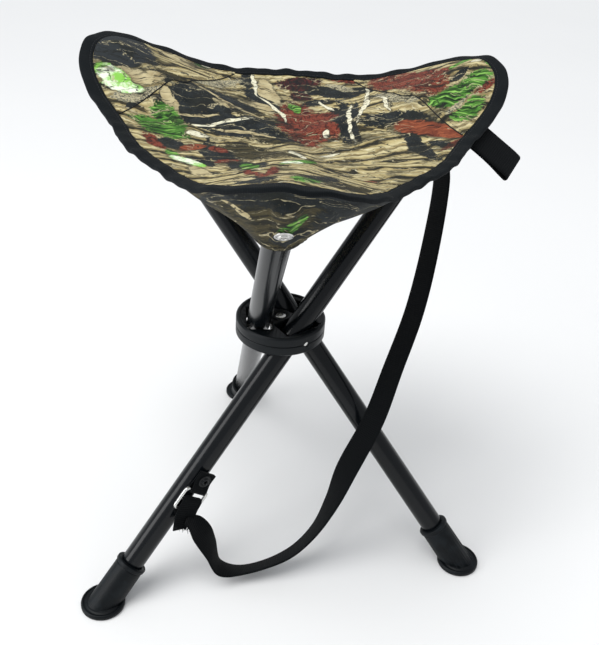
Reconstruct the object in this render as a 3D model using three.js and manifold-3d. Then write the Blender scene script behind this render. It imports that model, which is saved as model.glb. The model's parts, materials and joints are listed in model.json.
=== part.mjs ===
// Folding three-leg camp stool: three steel tubes cross in a plastic hub and hold a slung fabric seat.
// Millimetres, +Z up, the feet stand on z = 0 and the front corner of the seat points to -Y.
import * as THREE from 'three';
import { mergeVertices } from 'three/addons/utils/BufferGeometryUtils.js';
import manifoldModule from 'manifold-3d';

const manifold = await manifoldModule();
manifold.setup();

// ---------------------------------------------------------------- driving dimensions
const LEG_TILT = 40.59 * Math.PI / 180; // each leg from the vertical, stool open
const PIN_RADIUS_FROM_AXIS = 20.9; // hub centre to the middle of each tube
const HUB_HEIGHT = 240.8; // pivot pins above the floor
const HUB_RADIUS = 42.1;
const HUB_HALF_THICKNESS = 9.6;
const TUBE_RADIUS = 11;
const TUBE_WALL = 1.2;
const TUBE_ABOVE_PIN = 281;
const TUBE_BELOW_PIN = 298;
const PIN_RADIUS = 2.5;
const FOOT_SLEEVE_RADIUS = 14;
const FOOT_SLEEVE_LENGTH = 50;
const FOOT_FLANGE_RADIUS = 20.8;
const FOOT_FLANGE_HEIGHT = 5;

const SEAT_CORNER_ANGLE = 23.75 * Math.PI / 180; // the right corner, from +X
const SEAT_CORNER_REACH = 207; // hub axis to the rim at a corner
const SEAT_EDGE_REACH = 142; // hub axis to the rim at the middle of an edge
const SEAT_CORNER_HEIGHT = 469.5;
const SEAT_EDGE_HEIGHT = 436.5;
const SEAT_CENTRE_HEIGHT = 425;
const SEAT_THICKNESS = 1.6;
const TUBE_END_LIFT = 4.5; // how far a tube end pushes the cloth up
const BINDING_WIDTH = 11;
const BINDING_WALL = 1.1;
const CORNER_PANEL_CHORD = 118; // hub axis to the seam of a corner panel
const POCKET_DEPTH = 56; // tube end to the pocket's mouth
const POCKET_FLARE = 8; // how far the mouth's sides stand off the tube
const POCKET_BELLY = 8; // sag of the pocket's sides between rim and tube
const POCKET_RIVET_DROP = 27; // tube end to the rivet of its pocket

const WEBBING_WIDTH = 25;
const WEBBING_THICKNESS = 2;
const STRAP_RIVET_DROP = 46; // tube end to the rivet of the strap
const CLOSURE_TAB_WIDTH = 34;
const BUCKLE_ALONG_LEG = -182; // pin to buckle, along the right leg
const BUCKLE_WIDTH = 31;
const BUCKLE_HEIGHT = 25;
const BUCKLE_WIRE_RADIUS = 1.6;
const TAB_RIVET_RISE = 22; // buckle to the rivet of its tab

const floorDrop = HUB_HEIGHT / Math.cos(LEG_TILT); // pin to floor along a leg
const LEGS = [
  { name: 'right_leg', hubAngle: -Math.PI / 3, corner: 0, pocketHalfSpan: 19 * Math.PI / 180 },
  { name: 'left_leg', hubAngle: Math.PI / 3, corner: 1, pocketHalfSpan: 30 * Math.PI / 180 },
  { name: 'front_leg', hubAngle: Math.PI, corner: 2, pocketHalfSpan: 30 * Math.PI / 180 },
];

// ---------------------------------------------------------------- materials
const powderCoat = new THREE.MeshStandardMaterial({ color: 0x15181a, roughness: 0.3, metalness: 0.6 });
const mouldedPlastic = new THREE.MeshStandardMaterial({ color: 0x14191c, roughness: 0.55, metalness: 0 });
const blackRubber = new THREE.MeshStandardMaterial({ color: 0x0d1012, roughness: 0.7, metalness: 0 });
const platedSteel = new THREE.MeshStandardMaterial({ color: 0xb4b6b4, roughness: 0.3, metalness: 1 });
const camoCloth = new THREE.MeshStandardMaterial({ color: 0x8a7d5c, roughness: 0.9, metalness: 0 });
const blackWebbing = new THREE.MeshStandardMaterial({ color: 0x111417, roughness: 0.85, metalness: 0 });

const stool = new THREE.Group();

function addPiece(parent, name, geometry, material) {
  const mesh = new THREE.Mesh(geometry, material);
  mesh.name = name;
  parent.add(mesh);
  return mesh;
}

// ---------------------------------------------------------------- solids
function weld(geometry) {
  const bare = geometry.index ? geometry.clone() : mergeVertices(geometry.clone(), 1e-4);
  bare.deleteAttribute('normal');
  bare.deleteAttribute('uv');
  const merged = mergeVertices(bare, 1e-4);
  const kept = [];
  const index = merged.index.array;
  for (let i = 0; i < index.length; i += 3) {
    const [a, b, c] = [index[i], index[i + 1], index[i + 2]];
    if (a !== b && b !== c && c !== a) kept.push(a, b, c);
  }
  merged.setIndex(kept);
  merged.computeVertexNormals();
  return merged;
}

function toSolid(geometry) {
  const welded = weld(geometry);
  return new manifold.Manifold(new manifold.Mesh({
    numProp: 3,
    vertProperties: new Float32Array(welded.attributes.position.array),
    triVerts: new Uint32Array(welded.index.array),
  }));
}

function toGeometry(solid) {
  const mesh = solid.getMesh();
  const geometry = new THREE.BufferGeometry();
  geometry.setAttribute('position', new THREE.BufferAttribute(new Float32Array(mesh.vertProperties), 3));
  geometry.setIndex(new THREE.BufferAttribute(new Uint32Array(mesh.triVerts), 1));
  geometry.computeVertexNormals();
  return geometry;
}

function subtract(body, ...tools) {
  return tools.reduce((rest, tool) => rest.subtract(toSolid(tool)), body);
}

// A cylinder along Z between two heights.
function rod(radius, low, high, segments = 28) {
  const geometry = new THREE.CylinderGeometry(radius, radius, high - low, segments);
  return geometry.rotateX(Math.PI / 2).translate(0, 0, (low + high) / 2);
}

// A lathed solid about Z from [radius, height] pairs that run round its section.
function turned(section, segments = 40) {
  const points = section.map(([radius, height]) => new THREE.Vector2(radius, height));
  if (section[0][0] > 0) points.push(points[0].clone());
  return weld(outward(new THREE.LatheGeometry(points, segments).rotateX(Math.PI / 2)));
}

// Faces turned the right way round: a solid's signed volume is positive.
function outward(geometry) {
  const welded = weld(geometry);
  const at = (i) => new THREE.Vector3().fromBufferAttribute(welded.attributes.position, i);
  const index = Array.from(welded.index.array);
  let volume = 0;
  for (let i = 0; i < index.length; i += 3) {
    volume += at(index[i]).dot(at(index[i + 1]).cross(at(index[i + 2])));
  }
  if (volume < 0) welded.setIndex(index.reverse());
  welded.computeVertexNormals();
  return welded;
}

// Every vertex of a plain geometry carried to its place by one function.
function shaped(geometry, place) {
  const moved = geometry.clone();
  const position = moved.attributes.position;
  for (let i = 0; i < position.count; i += 1) {
    const point = place(position.getX(i), position.getY(i), position.getZ(i));
    position.setXYZ(i, point.x, point.y, point.z);
  }
  return outward(moved);
}

// A thin sheet over a surface: surface(u, v) with u and v from 0 to 1.
function sheet(surface, uSteps, vSteps, thickness) {
  const step = 1e-3;
  return shaped(new THREE.BoxGeometry(1, 1, 1, uSteps, vSteps, 1), (x, y, z) => {
    const [u, v] = [x + 0.5, y + 0.5];
    const alongU = surface(Math.min(u + step, 1), v).sub(surface(Math.max(u - step, 0), v));
    const alongV = surface(u, Math.min(v + step, 1)).sub(surface(u, Math.max(v - step, 0)));
    return surface(u, v).addScaledVector(alongU.cross(alongV).normalize(), z * thickness);
  });
}

// ---------------------------------------------------------------- legs
function legFrame(hubAngle) {
  const outwardAxis = new THREE.Vector3(Math.cos(hubAngle), Math.sin(hubAngle), 0);
  const sideways = new THREE.Vector3(-Math.sin(hubAngle), Math.cos(hubAngle), 0);
  const up = sideways.multiplyScalar(Math.sin(LEG_TILT)).add(new THREE.Vector3(0, 0, Math.cos(LEG_TILT)));
  const underside = up.clone().cross(outwardAxis);
  const frame = new THREE.Matrix4().makeBasis(outwardAxis, underside, up);
  return frame.setPosition(outwardAxis.clone().multiplyScalar(PIN_RADIUS_FROM_AXIS).setZ(HUB_HEIGHT));
}

// A rivet with a cup washer, along +Y of the leg.
// Its washer is seated at the given distance from the tube's axis.
function legRivet(seat, along) {
  const inside = TUBE_RADIUS - TUBE_WALL - 1.5;
  const section = [
    [0, inside], [2.8, inside], [2.8, inside + 0.6], [1.7, inside + 0.8], [1.7, seat], [6.2, seat],
    [6.5, seat + 0.4], [6.3, seat + 0.9], [5.2, seat + 1.2], [4.4, seat + 0.9], [4.1, seat + 1.6],
    [2.6, seat + 2.5], [0, seat + 2.8],
  ];
  return turned(section, 18).rotateX(-Math.PI / 2).translate(0, 0, along);
}

function rivetHole(radius, along) {
  return rod(radius, TUBE_RADIUS - 3, TUBE_RADIUS + 9, 16).rotateX(-Math.PI / 2).translate(0, 0, along);
}

function tube(holes) {
  const body = subtract(
    toSolid(rod(TUBE_RADIUS, -TUBE_BELOW_PIN, TUBE_ABOVE_PIN, 36)),
    rod(TUBE_RADIUS - TUBE_WALL, -TUBE_BELOW_PIN - 1, TUBE_ABOVE_PIN + 1, 36),
    rod(PIN_RADIUS + 0.1, -20, 20).rotateY(Math.PI / 2),
    ...holes,
  );
  return toGeometry(body);
}

function endCap() {
  const stem = TUBE_RADIUS - TUBE_WALL - 0.15;
  const top = TUBE_ABOVE_PIN;
  return turned([
    [0, top - 12], [stem - 1, top - 12], [stem, top - 11], [stem, top + 0.2], [TUBE_RADIUS, top + 0.2],
    [TUBE_RADIUS, top + 0.8], [TUBE_RADIUS - 1.5, top + 1.8], [0, top + 2.2],
  ], 28);
}

function foot() {
  const bottom = -floorDrop - 20;
  const top = -floorDrop + FOOT_SLEEVE_LENGTH;
  const sleeve = toSolid(turned([
    [0, bottom], [FOOT_SLEEVE_RADIUS + 0.6, bottom], [FOOT_SLEEVE_RADIUS, top - 5],
    [FOOT_SLEEVE_RADIUS - 0.4, top - 4.2], [FOOT_SLEEVE_RADIUS + 0.9, top - 3.4],
    [FOOT_SLEEVE_RADIUS + 0.9, top - 0.8], [FOOT_SLEEVE_RADIUS + 0.2, top], [0, top],
  ], 32));
  const flange = toSolid(turned([
    [0, 0], [FOOT_FLANGE_RADIUS - 0.8, 0], [FOOT_FLANGE_RADIUS, 0.8],
    [FOOT_FLANGE_RADIUS, FOOT_FLANGE_HEIGHT - 1.6], [FOOT_FLANGE_RADIUS - 1.4, FOOT_FLANGE_HEIGHT],
    [0, FOOT_FLANGE_HEIGHT],
  ], 36).rotateX(LEG_TILT).translate(0, 0, -floorDrop));
  const floorNormal = [0, -Math.sin(LEG_TILT), Math.cos(LEG_TILT)];
  const body = sleeve.trimByPlane(floorNormal, -HUB_HEIGHT).add(flange);
  return toGeometry(subtract(body, rod(TUBE_RADIUS + 0.25, -TUBE_BELOW_PIN - 0.3, top + 5, 36)));
}

// ---------------------------------------------------------------- hub
const SLOT_REACH = 23.3; // slot end on the side where the open leg leans
const SLOT_BACK = 15; // slot end on the other side
const SCREW_RADIUS = 3;

function hubSlot(leg, side) {
  const length = SLOT_REACH + SLOT_BACK;
  const slot = new THREE.BoxGeometry(2 * TUBE_RADIUS + 1.2, length, 3 * HUB_HALF_THICKNESS);
  slot.translate(PIN_RADIUS_FROM_AXIS, side * (length / 2 - SLOT_BACK), 0);
  return slot.rotateZ(leg.hubAngle);
}

function pinBore(leg) {
  return rod(PIN_RADIUS + 0.06, 4.9, HUB_RADIUS + 5).rotateY(Math.PI / 2).rotateZ(leg.hubAngle);
}

function hubShell(side, recess) {
  const [r, h] = [HUB_RADIUS, HUB_HALF_THICKNESS];
  const section = [
    [SCREW_RADIUS + 0.3, 0.15], [r - 0.5, 0.15], [r, 0.65], [r, h - 2.2], [r - 0.7, h - 0.7], [r - 2.2, h],
    [r - 3.8, h], [r - 4.2, h - 1.3], [9.6, h - 1.3], [9.2, h], [SCREW_RADIUS + 0.3, h],
  ];
  const blank = toSolid(turned(section.map(([radius, height]) => [radius, side * height]), 60));
  const slots = LEGS.map((leg) => hubSlot(leg, side));
  const body = subtract(blank, ...slots, ...LEGS.map(pinBore), recess);
  return toGeometry(body.translate(0, 0, HUB_HEIGHT));
}

function buildHub() {
  const hub = new THREE.Group();
  const h = HUB_HALF_THICKNESS;
  addPiece(hub, 'hub_upper_shell', hubShell(1, rod(6.2, h - 4.4, h + 1)), mouldedPlastic);
  addPiece(hub, 'hub_lower_shell', hubShell(-1, rod(6.2, -h - 1, -h + 4, 6)), mouldedPlastic);

  const screw = toSolid(turned([
    [0, -h + 0.4], [SCREW_RADIUS - 0.5, -h + 0.4], [SCREW_RADIUS, -h + 0.9], [SCREW_RADIUS, h - 4.1],
    [5.6, h - 4.1], [5.6, h - 1.6], [4.6, h - 0.8], [0, h - 0.4],
  ], 24));
  const socket = rod(2.3, h - 2.6, h + 1, 6);
  addPiece(hub, 'hub_screw', toGeometry(subtract(screw, socket).translate(0, 0, HUB_HEIGHT)), platedSteel);

  const nut = subtract(toSolid(rod(5.75, -h + 0.3, -h + 3.7, 6)), rod(SCREW_RADIUS + 0.1, -h - 1, 0));
  addPiece(hub, 'hub_nut', toGeometry(nut.translate(0, 0, HUB_HEIGHT)), platedSteel);

  for (const leg of LEGS) {
    const pin = turned([
      [0, 5.1], [PIN_RADIUS - 0.4, 5.1], [PIN_RADIUS, 5.5], [PIN_RADIUS, HUB_RADIUS - 1.4],
      [PIN_RADIUS - 0.4, HUB_RADIUS - 1], [0, HUB_RADIUS - 1],
    ], 28).rotateY(Math.PI / 2).rotateZ(leg.hubAngle).translate(0, 0, HUB_HEIGHT);
    addPiece(hub, `${leg.name}_pivot_pin`, pin, platedSteel);
  }
  return hub;
}

// ---------------------------------------------------------------- seat
const cornerShare = (bearing) => (1 + Math.cos(3 * bearing)) / 2; // 1 at a corner, 0 mid-edge

function rimRadius(bearing) {
  const share = cornerShare(bearing);
  return SEAT_EDGE_REACH + (SEAT_CORNER_REACH - SEAT_EDGE_REACH) * share ** 2.1;
}

// Height of the seat cloth's middle at a bearing from the right corner and a share of the way to the rim.
function seatHeight(bearing, share) {
  const corner = cornerShare(bearing);
  const rim = SEAT_EDGE_HEIGHT + (SEAT_CORNER_HEIGHT - SEAT_EDGE_HEIGHT) * corner ** 3.4;
  const sag = (rim - SEAT_CENTRE_HEIGHT) * share ** (1.9 - 0.7 * corner);
  const fold = 2 * Math.PI / 3;
  const nearest = bearing - fold * Math.round(bearing / fold);
  const reach = rimRadius(bearing) * share;
  const endOffset = Math.hypot(reach * Math.cos(nearest) - 181, reach * Math.sin(nearest));
  return SEAT_CENTRE_HEIGHT + sag + TUBE_END_LIFT * Math.exp(-((endOffset / 20) ** 2));
}

function seatPoint(bearing, reach, lift) {
  const height = seatHeight(bearing, reach / rimRadius(bearing)) + lift;
  const angle = SEAT_CORNER_ANGLE + bearing;
  return new THREE.Vector3(reach * Math.cos(angle), reach * Math.sin(angle), height);
}

function seatPanel() {
  const rings = 8; // from the centre to the binding's edge; one more ring lies inside the binding
  const half = SEAT_THICKNESS / 2;
  const top = Array.from({ length: rings + 2 }, (_, i) => [i / rings, half]);
  const bottom = top.map(([share]) => [share, -half]).reverse();
  return shaped(turned([...top, ...bottom], 72), (x, y, z) => {
    const bearing = Math.atan2(y, x);
    const ring = Math.hypot(x, y);
    const clothReach = rimRadius(bearing) - BINDING_WIDTH;
    const reach = ring > 1.001 ? rimRadius(bearing) : ring * clothReach;
    return seatPoint(bearing, reach, z);
  });
}

// Binding tape folded over the raw edge of the cloth.
function seatBinding() {
  const slot = SEAT_THICKNESS / 2 + 0.45;
  const outer = slot + BINDING_WALL;
  const section = [
    [-1.5, -outer + 0.4], [-1.1, -outer], [BINDING_WIDTH, -outer], [BINDING_WIDTH, -slot], [-0.4, -slot],
    [-0.4, slot], [BINDING_WIDTH, slot], [BINDING_WIDTH, outer], [-1.1, outer], [-1.5, outer - 0.4],
  ];
  const ring = turned(section.map(([inward, lift]) => [100 - inward, lift]), 72);
  return shaped(ring, (x, y, z) => {
    const bearing = Math.atan2(y, x);
    return seatPoint(bearing, rimRadius(bearing) - (100 - Math.hypot(x, y)), z);
  });
}

function cornerPanel(corner) {
  const middle = corner * 2 * Math.PI / 3;
  const seam = BINDING_WIDTH + 1.4;
  let halfSpan = 0;
  while (CORNER_PANEL_CHORD / Math.cos(halfSpan) < rimRadius(halfSpan) - seam - 3) halfSpan += 0.004;
  const lift = SEAT_THICKNESS / 2 + 1.7;
  const surface = (u, v) => {
    const bearing = (2 * u - 1) * halfSpan;
    const inner = CORNER_PANEL_CHORD / Math.cos(bearing);
    return seatPoint(middle + bearing, THREE.MathUtils.lerp(inner, rimRadius(bearing) - seam, v), lift);
  };
  return sheet(surface, 14, 5, 0.8);
}

// The pocket under a corner runs from the rim down round the tube, and a rivet holds its lower end.
function pocket(leg) {
  const frame = legFrame(leg.hubAngle);
  const [across, under, up] = [new THREE.Vector3(), new THREE.Vector3(), new THREE.Vector3()];
  frame.extractBasis(across, under, up);
  const pin = new THREE.Vector3().setFromMatrixPosition(frame);
  const middle = leg.corner * 2 * Math.PI / 3;
  const surface = (u, v) => {
    const side = 2 * u - 1;
    const bearing = middle + side * leg.pocketHalfSpan;
    const snug = TUBE_RADIUS + 2.2 + POCKET_FLARE * side ** 2;
    const rim = seatPoint(bearing, rimRadius(bearing) - 5, -SEAT_THICKNESS / 2 - 2.6);
    const wrap = side * 1.75;
    const along = TUBE_ABOVE_PIN + 6 - v * (POCKET_DEPTH + 6);
    const onTube = pin.clone().addScaledVector(up, along)
      .addScaledVector(under, snug * Math.cos(wrap)).addScaledVector(across, -snug * Math.sin(wrap));
    const point = rim.lerp(onTube, v ** 1.2);
    point.z -= POCKET_BELLY * Math.sin(Math.PI * v) * side ** 2;
    const local = point.clone().sub(pin);
    const beside = local.addScaledVector(up, -local.dot(up));
    const gap = TUBE_RADIUS + 1.5 - beside.length();
    return gap > 0 ? point.addScaledVector(beside.normalize(), gap) : point;
  };
  const cloth = toSolid(sheet(surface, 18, 11, 1.1));
  const holes = [rivetHole(2.1, TUBE_ABOVE_PIN - POCKET_RIVET_DROP)];
  if (leg.name === 'right_leg') holes.push(rivetHole(2.1, TUBE_ABOVE_PIN - STRAP_RIVET_DROP));
  return toGeometry(subtract(cloth, ...holes.map((hole) => hole.applyMatrix4(frame))));
}

// A short loop of wide webbing, sewn under the right edge and parallel to it, that ties the folded stool.
function closureTab() {
  const bearing = -27.5 * Math.PI / 180;
  const root = seatPoint(bearing, rimRadius(bearing) - 9, -5.6);
  const away = new THREE.Vector3(0.78, -0.4, -0.48).normalize();
  const sideways = new THREE.Vector3(0.62, 0.77, 0.17);
  sideways.addScaledVector(away, -sideways.dot(away)).normalize();
  const surface = (u, v) => {
    const length = v * 42;
    const droop = new THREE.Vector3(0, 0, -3 * v * v);
    return root.clone().addScaledVector(away, length).add(droop)
      .addScaledVector(sideways, (u - 0.5) * CLOSURE_TAB_WIDTH);
  };
  return sheet(surface, 4, 8, 2 * WEBBING_THICKNESS);
}

// ---------------------------------------------------------------- carry strap
// Middle line of the strap from its rivet on the right pocket to the buckle near the right foot,
// each point with the direction its width takes.
const STRAP_ROUTE = [
  { at: [157.4, 66.8, 415.4], width: [0.5, -0.87, 0] },
  { at: [148.5, 61.6, 403.5], width: [0.5, -0.87, 0] },
  { at: [146.5, 56, 388], width: [0.42, -0.9, 0.1] },
  { at: [149, 50, 367], width: [0.36, -0.9, 0.25] },
  { at: [144, 34, 312], width: [0.43, -0.86, 0.27] },
  { at: [129, 4, 252], width: [0.51, -0.81, 0.28] },
  { at: [107.5, -26, 203], width: [0.56, -0.79, 0.25] },
  { at: [89, -52, 164], width: [0.59, -0.8, 0.13] },
  { at: [64, -72, 119], width: [0.58, -0.82, 0] },
  { at: [50, -80, 81], width: [0.2, -0.97, 0.1] },
  { at: [34.5, -85, 49], width: [-0.08, -0.97, 0.21] },
  { at: [14, -89, 26], width: [-0.11, -0.93, 0.35] },
  { at: [-12, -93, 14], width: [-0.04, -0.88, 0.48] },
  { at: [-38, -96, 10.5], width: [0, -0.88, 0.44] },
  { at: [-57, -99, 20], width: [-0.1, -0.97, 0.2] },
  { at: [-66, -101, 49], width: [-0.35, -0.92, -0.1] },
  { at: [-73, -102, 68], width: [-0.6, -0.78, 0] },
  { at: [-80.5, -100.5, 80], width: [-0.63, -0.6, 0.45] },
  { at: [-88.4, -97.5, 86.5], width: [-0.64, -0.38, 0.65] },
];

function carryStrap() {
  const line = new THREE.CatmullRomCurve3(STRAP_ROUTE.map(({ at }) => new THREE.Vector3(...at)));
  const widths = new THREE.CatmullRomCurve3(STRAP_ROUTE.map(({ width }) => new THREE.Vector3(...width)));
  const surface = (u, v) => {
    const along = line.getTangent(v);
    const across = widths.getPoint(v);
    across.addScaledVector(along, -across.dot(along)).normalize();
    return line.getPoint(v).addScaledVector(across, (u - 0.5) * WEBBING_WIDTH);
  };
  const strap = toSolid(sheet(surface, 2, 72, WEBBING_THICKNESS));
  const hole = rivetHole(2.1, TUBE_ABOVE_PIN - STRAP_RIVET_DROP).applyMatrix4(legFrame(LEGS[0].hubAngle));
  return toGeometry(strap.subtract(toSolid(hole)));
}

// Three-bar slide of round wire, flat against the side of the right leg.
function buckle() {
  const [w, h, r] = [BUCKLE_WIDTH / 2 - BUCKLE_WIRE_RADIUS, BUCKLE_HEIGHT / 2 - BUCKLE_WIRE_RADIUS, 3];
  const loop = new THREE.CurvePath();
  const corners = [[w, h], [-w, h], [-w, -h], [w, -h]];
  corners.forEach(([y, z], i) => {
    const [nextY, nextZ] = corners[(i + 1) % 4];
    const [fromY, fromZ] = corners[(i + 3) % 4];
    const corner = new THREE.Vector3(0, y, z);
    const before = corner.clone().lerp(new THREE.Vector3(0, fromY, fromZ), r / corner.distanceTo(
      new THREE.Vector3(0, fromY, fromZ)));
    const next = new THREE.Vector3(0, nextY, nextZ);
    const after = corner.clone().lerp(next, r / corner.distanceTo(next));
    const afterNext = next.clone().lerp(corner, r / corner.distanceTo(next));
    loop.add(new THREE.QuadraticBezierCurve3(before, corner, after));
    loop.add(new THREE.LineCurve3(after, afterNext));
  });
  const frame = toSolid(outward(new THREE.TubeGeometry(loop, 48, BUCKLE_WIRE_RADIUS, 8, true)));
  const bar = toSolid(rod(BUCKLE_WIRE_RADIUS, -w, w, 8).rotateX(Math.PI / 2));
  return toGeometry(frame.add(bar));
}

// Webbing tab that holds the buckle's upper bar, folded flat and riveted to the leg.
function buckleTab(seat) {
  const bend = BUCKLE_ALONG_LEG + BUCKLE_HEIGHT / 2 - BUCKLE_WIRE_RADIUS;
  const gap = BUCKLE_WIRE_RADIUS + 0.4;
  const outline = new THREE.Shape();
  const [inner, outer] = [gap, gap + 1.4];
  outline.moveTo(seat - outer, bend);
  outline.absarc(seat, bend, outer, Math.PI, 2 * Math.PI, false);
  outline.lineTo(seat + 0.4, bend + 4);
  outline.lineTo(seat + 0.4, bend + 19);
  outline.lineTo(seat - outer, bend + 19);
  outline.lineTo(seat - outer, bend);
  const eye = new THREE.Path();
  eye.absarc(seat, bend, inner, 0, 2 * Math.PI, false);
  outline.holes.push(eye);
  const geometry = new THREE.ExtrudeGeometry(outline, { depth: 20, bevelEnabled: false, curveSegments: 16 });
  return outward(geometry.translate(0, 0, -10).rotateX(Math.PI / 2));
}

// ---------------------------------------------------------------- assembly
const frameGroup = new THREE.Group();
frameGroup.name = 'stool_frame';
stool.add(frameGroup);
frameGroup.add(buildHub());

for (const leg of LEGS) {
  const legGroup = new THREE.Group();
  legGroup.applyMatrix4(legFrame(leg.hubAngle));
  frameGroup.add(legGroup);
  const rivets = [TUBE_ABOVE_PIN - POCKET_RIVET_DROP];
  const holes = rivets.map((along) => rivetHole(1.9, along));
  if (leg.name === 'right_leg') {
    holes.push(rivetHole(1.9, TUBE_ABOVE_PIN - STRAP_RIVET_DROP));
    holes.push(rivetHole(1.9, BUCKLE_ALONG_LEG + TAB_RIVET_RISE).rotateZ(-Math.PI / 2));
  }
  addPiece(legGroup, `${leg.name}_tube`, tube(holes), powderCoat);
  addPiece(legGroup, `${leg.name}_foot`, foot(), blackRubber);
  addPiece(legGroup, `${leg.name}_end_cap`, endCap(), mouldedPlastic);
  const pocketSeat = TUBE_RADIUS + 3.1;
  addPiece(legGroup, `${leg.name}_pocket_rivet`, legRivet(pocketSeat, rivets[0]), platedSteel);
  if (leg.name === 'right_leg') {
    const strapSeat = pocketSeat + 2.6;
    addPiece(legGroup, 'strap_rivet', legRivet(strapSeat, TUBE_ABOVE_PIN - STRAP_RIVET_DROP), platedSteel);
    const buckleSeat = TUBE_RADIUS + 4;
    const wire = addPiece(legGroup, 'strap_buckle', buckle(), platedSteel);
    wire.position.set(buckleSeat, 0, BUCKLE_ALONG_LEG);
    const tab = toSolid(buckleTab(buckleSeat));
    const tabHole = rivetHole(2.1, BUCKLE_ALONG_LEG + TAB_RIVET_RISE).rotateZ(-Math.PI / 2);
    addPiece(legGroup, 'buckle_tab', toGeometry(subtract(tab, tabHole)), blackWebbing);
    const tabRivet = legRivet(buckleSeat + 0.7, BUCKLE_ALONG_LEG + TAB_RIVET_RISE).rotateZ(-Math.PI / 2);
    addPiece(legGroup, 'buckle_tab_rivet', tabRivet, powderCoat);
  }
  addPiece(frameGroup, `${leg.name}_pocket`, pocket(leg), camoCloth);
  addPiece(frameGroup, `${leg.name}_corner_panel`, cornerPanel(leg.corner), camoCloth);
}
addPiece(frameGroup, 'seat_panel', seatPanel(), camoCloth);
addPiece(frameGroup, 'seat_binding', seatBinding(), blackWebbing);
addPiece(frameGroup, 'closure_tab', closureTab(), blackWebbing);
addPiece(frameGroup, 'carry_strap', carryStrap(), blackWebbing);

// The origin is the middle of the rigid object's footprint, on the floor.
frameGroup.updateWorldMatrix(true, true);
const extent = new THREE.Box3();
frameGroup.traverse((node) => {
  if (node.isMesh && node.name !== 'carry_strap') extent.expandByObject(node, true);
});
const centre = extent.getCenter(new THREE.Vector3());
frameGroup.position.set(-centre.x, -centre.y, -extent.min.z);

export default stool;
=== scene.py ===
"""Folding tripod stool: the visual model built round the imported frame, in metres, +Z up."""
import json
import math

import bmesh
import bpy
import numpy as np
from mathutils import Matrix, Vector


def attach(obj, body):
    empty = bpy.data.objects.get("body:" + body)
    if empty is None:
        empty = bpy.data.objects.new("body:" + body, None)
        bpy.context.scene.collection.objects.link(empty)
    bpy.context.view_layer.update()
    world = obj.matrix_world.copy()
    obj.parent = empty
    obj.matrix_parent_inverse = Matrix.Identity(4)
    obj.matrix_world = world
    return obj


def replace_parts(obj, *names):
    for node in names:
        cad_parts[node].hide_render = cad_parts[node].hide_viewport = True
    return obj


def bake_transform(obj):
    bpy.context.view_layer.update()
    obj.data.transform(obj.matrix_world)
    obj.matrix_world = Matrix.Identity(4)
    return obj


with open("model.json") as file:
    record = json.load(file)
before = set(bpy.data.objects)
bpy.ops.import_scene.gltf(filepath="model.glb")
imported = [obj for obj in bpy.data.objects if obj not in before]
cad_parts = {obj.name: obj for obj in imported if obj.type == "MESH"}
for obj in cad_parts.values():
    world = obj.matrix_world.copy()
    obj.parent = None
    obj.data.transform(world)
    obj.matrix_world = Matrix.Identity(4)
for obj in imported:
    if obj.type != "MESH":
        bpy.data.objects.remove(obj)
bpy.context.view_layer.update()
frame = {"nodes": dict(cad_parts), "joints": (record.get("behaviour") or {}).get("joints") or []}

MM = 0.001
UP = Vector((0, 0, 1))

# ------------------------------------------------------------------ driving dimensions
LEG_TILT = math.radians(40.59)
TUBE_RADIUS = 11 * MM
TUBE_WALL = 1.2 * MM
TUBE_ABOVE_PIN = 281 * MM
TUBE_BELOW_PIN = 298 * MM
TUBE_END_REACH = 181 * MM
FOOT_SLEEVE_RADIUS = 14 * MM
FOOT_SLEEVE_LENGTH = 50 * MM
FOOT_FLANGE_RADIUS = 20.8 * MM
HUB_RADIUS = 42.1 * MM
HUB_HALF_THICKNESS = 9.6 * MM
PIN_RADIUS = 2.5 * MM

SEAT_CORNER_ANGLE = math.radians(23.75)
SEAT_CORNER_REACH = 207 * MM
SEAT_EDGE_REACH = 142 * MM
SEAT_CORNER_HEIGHT = 469.5 * MM
SEAT_EDGE_HEIGHT = 436.5 * MM
SEAT_CENTRE_HEIGHT = 425 * MM
TUBE_END_LIFT = 4.5 * MM
CLOTH = 0.8 * MM
BINDING_WIDTH = 11 * MM
BINDING_HALF_GAP = 1.3 * MM
BINDING_WALL = 0.8 * MM
CORNER_SEAM_FRONT = 120 * MM
CORNER_SEAM_BACK = 111 * MM
POCKET_HALF_SPAN = {
    "right_leg": math.radians(19), "left_leg": math.radians(30), "front_leg": math.radians(30)}
POCKET_DEPTH = 56 * MM
POCKET_FLARE = 8 * MM
POCKET_BELLY = 8 * MM
POCKET_RIVET_DROP = 27 * MM

WEBBING_WIDTH = 25 * MM
WEBBING_THICKNESS = 1.9 * MM
STRAP_RIVET_DROP = 46 * MM
CLOSURE_TAB_WIDTH = 34 * MM
CLOSURE_TAB_RUN = 40 * MM
CLOSURE_TAB_BEARING = math.radians(-27.5)
BUCKLE_ALONG_LEG = -182 * MM
BUCKLE_WIDTH = 31 * MM
BUCKLE_HEIGHT = 25 * MM
BUCKLE_WIRE_RADIUS = 1.6 * MM
BUCKLE_FROM_AXIS = TUBE_RADIUS + 4 * MM
TAB_RIVET_RISE = 22 * MM

# ------------------------------------------------------------------ camera
CAMERA_AT = Vector((-0.0871, -0.6943, 0.6889))
CAMERA_YAW = math.radians(-7.885)
CAMERA_PITCH = math.radians(32.95)
CAMERA_ROLL = math.radians(4.146)
CAMERA_LENS = 48.5  # on the 36 mm sensor


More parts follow.
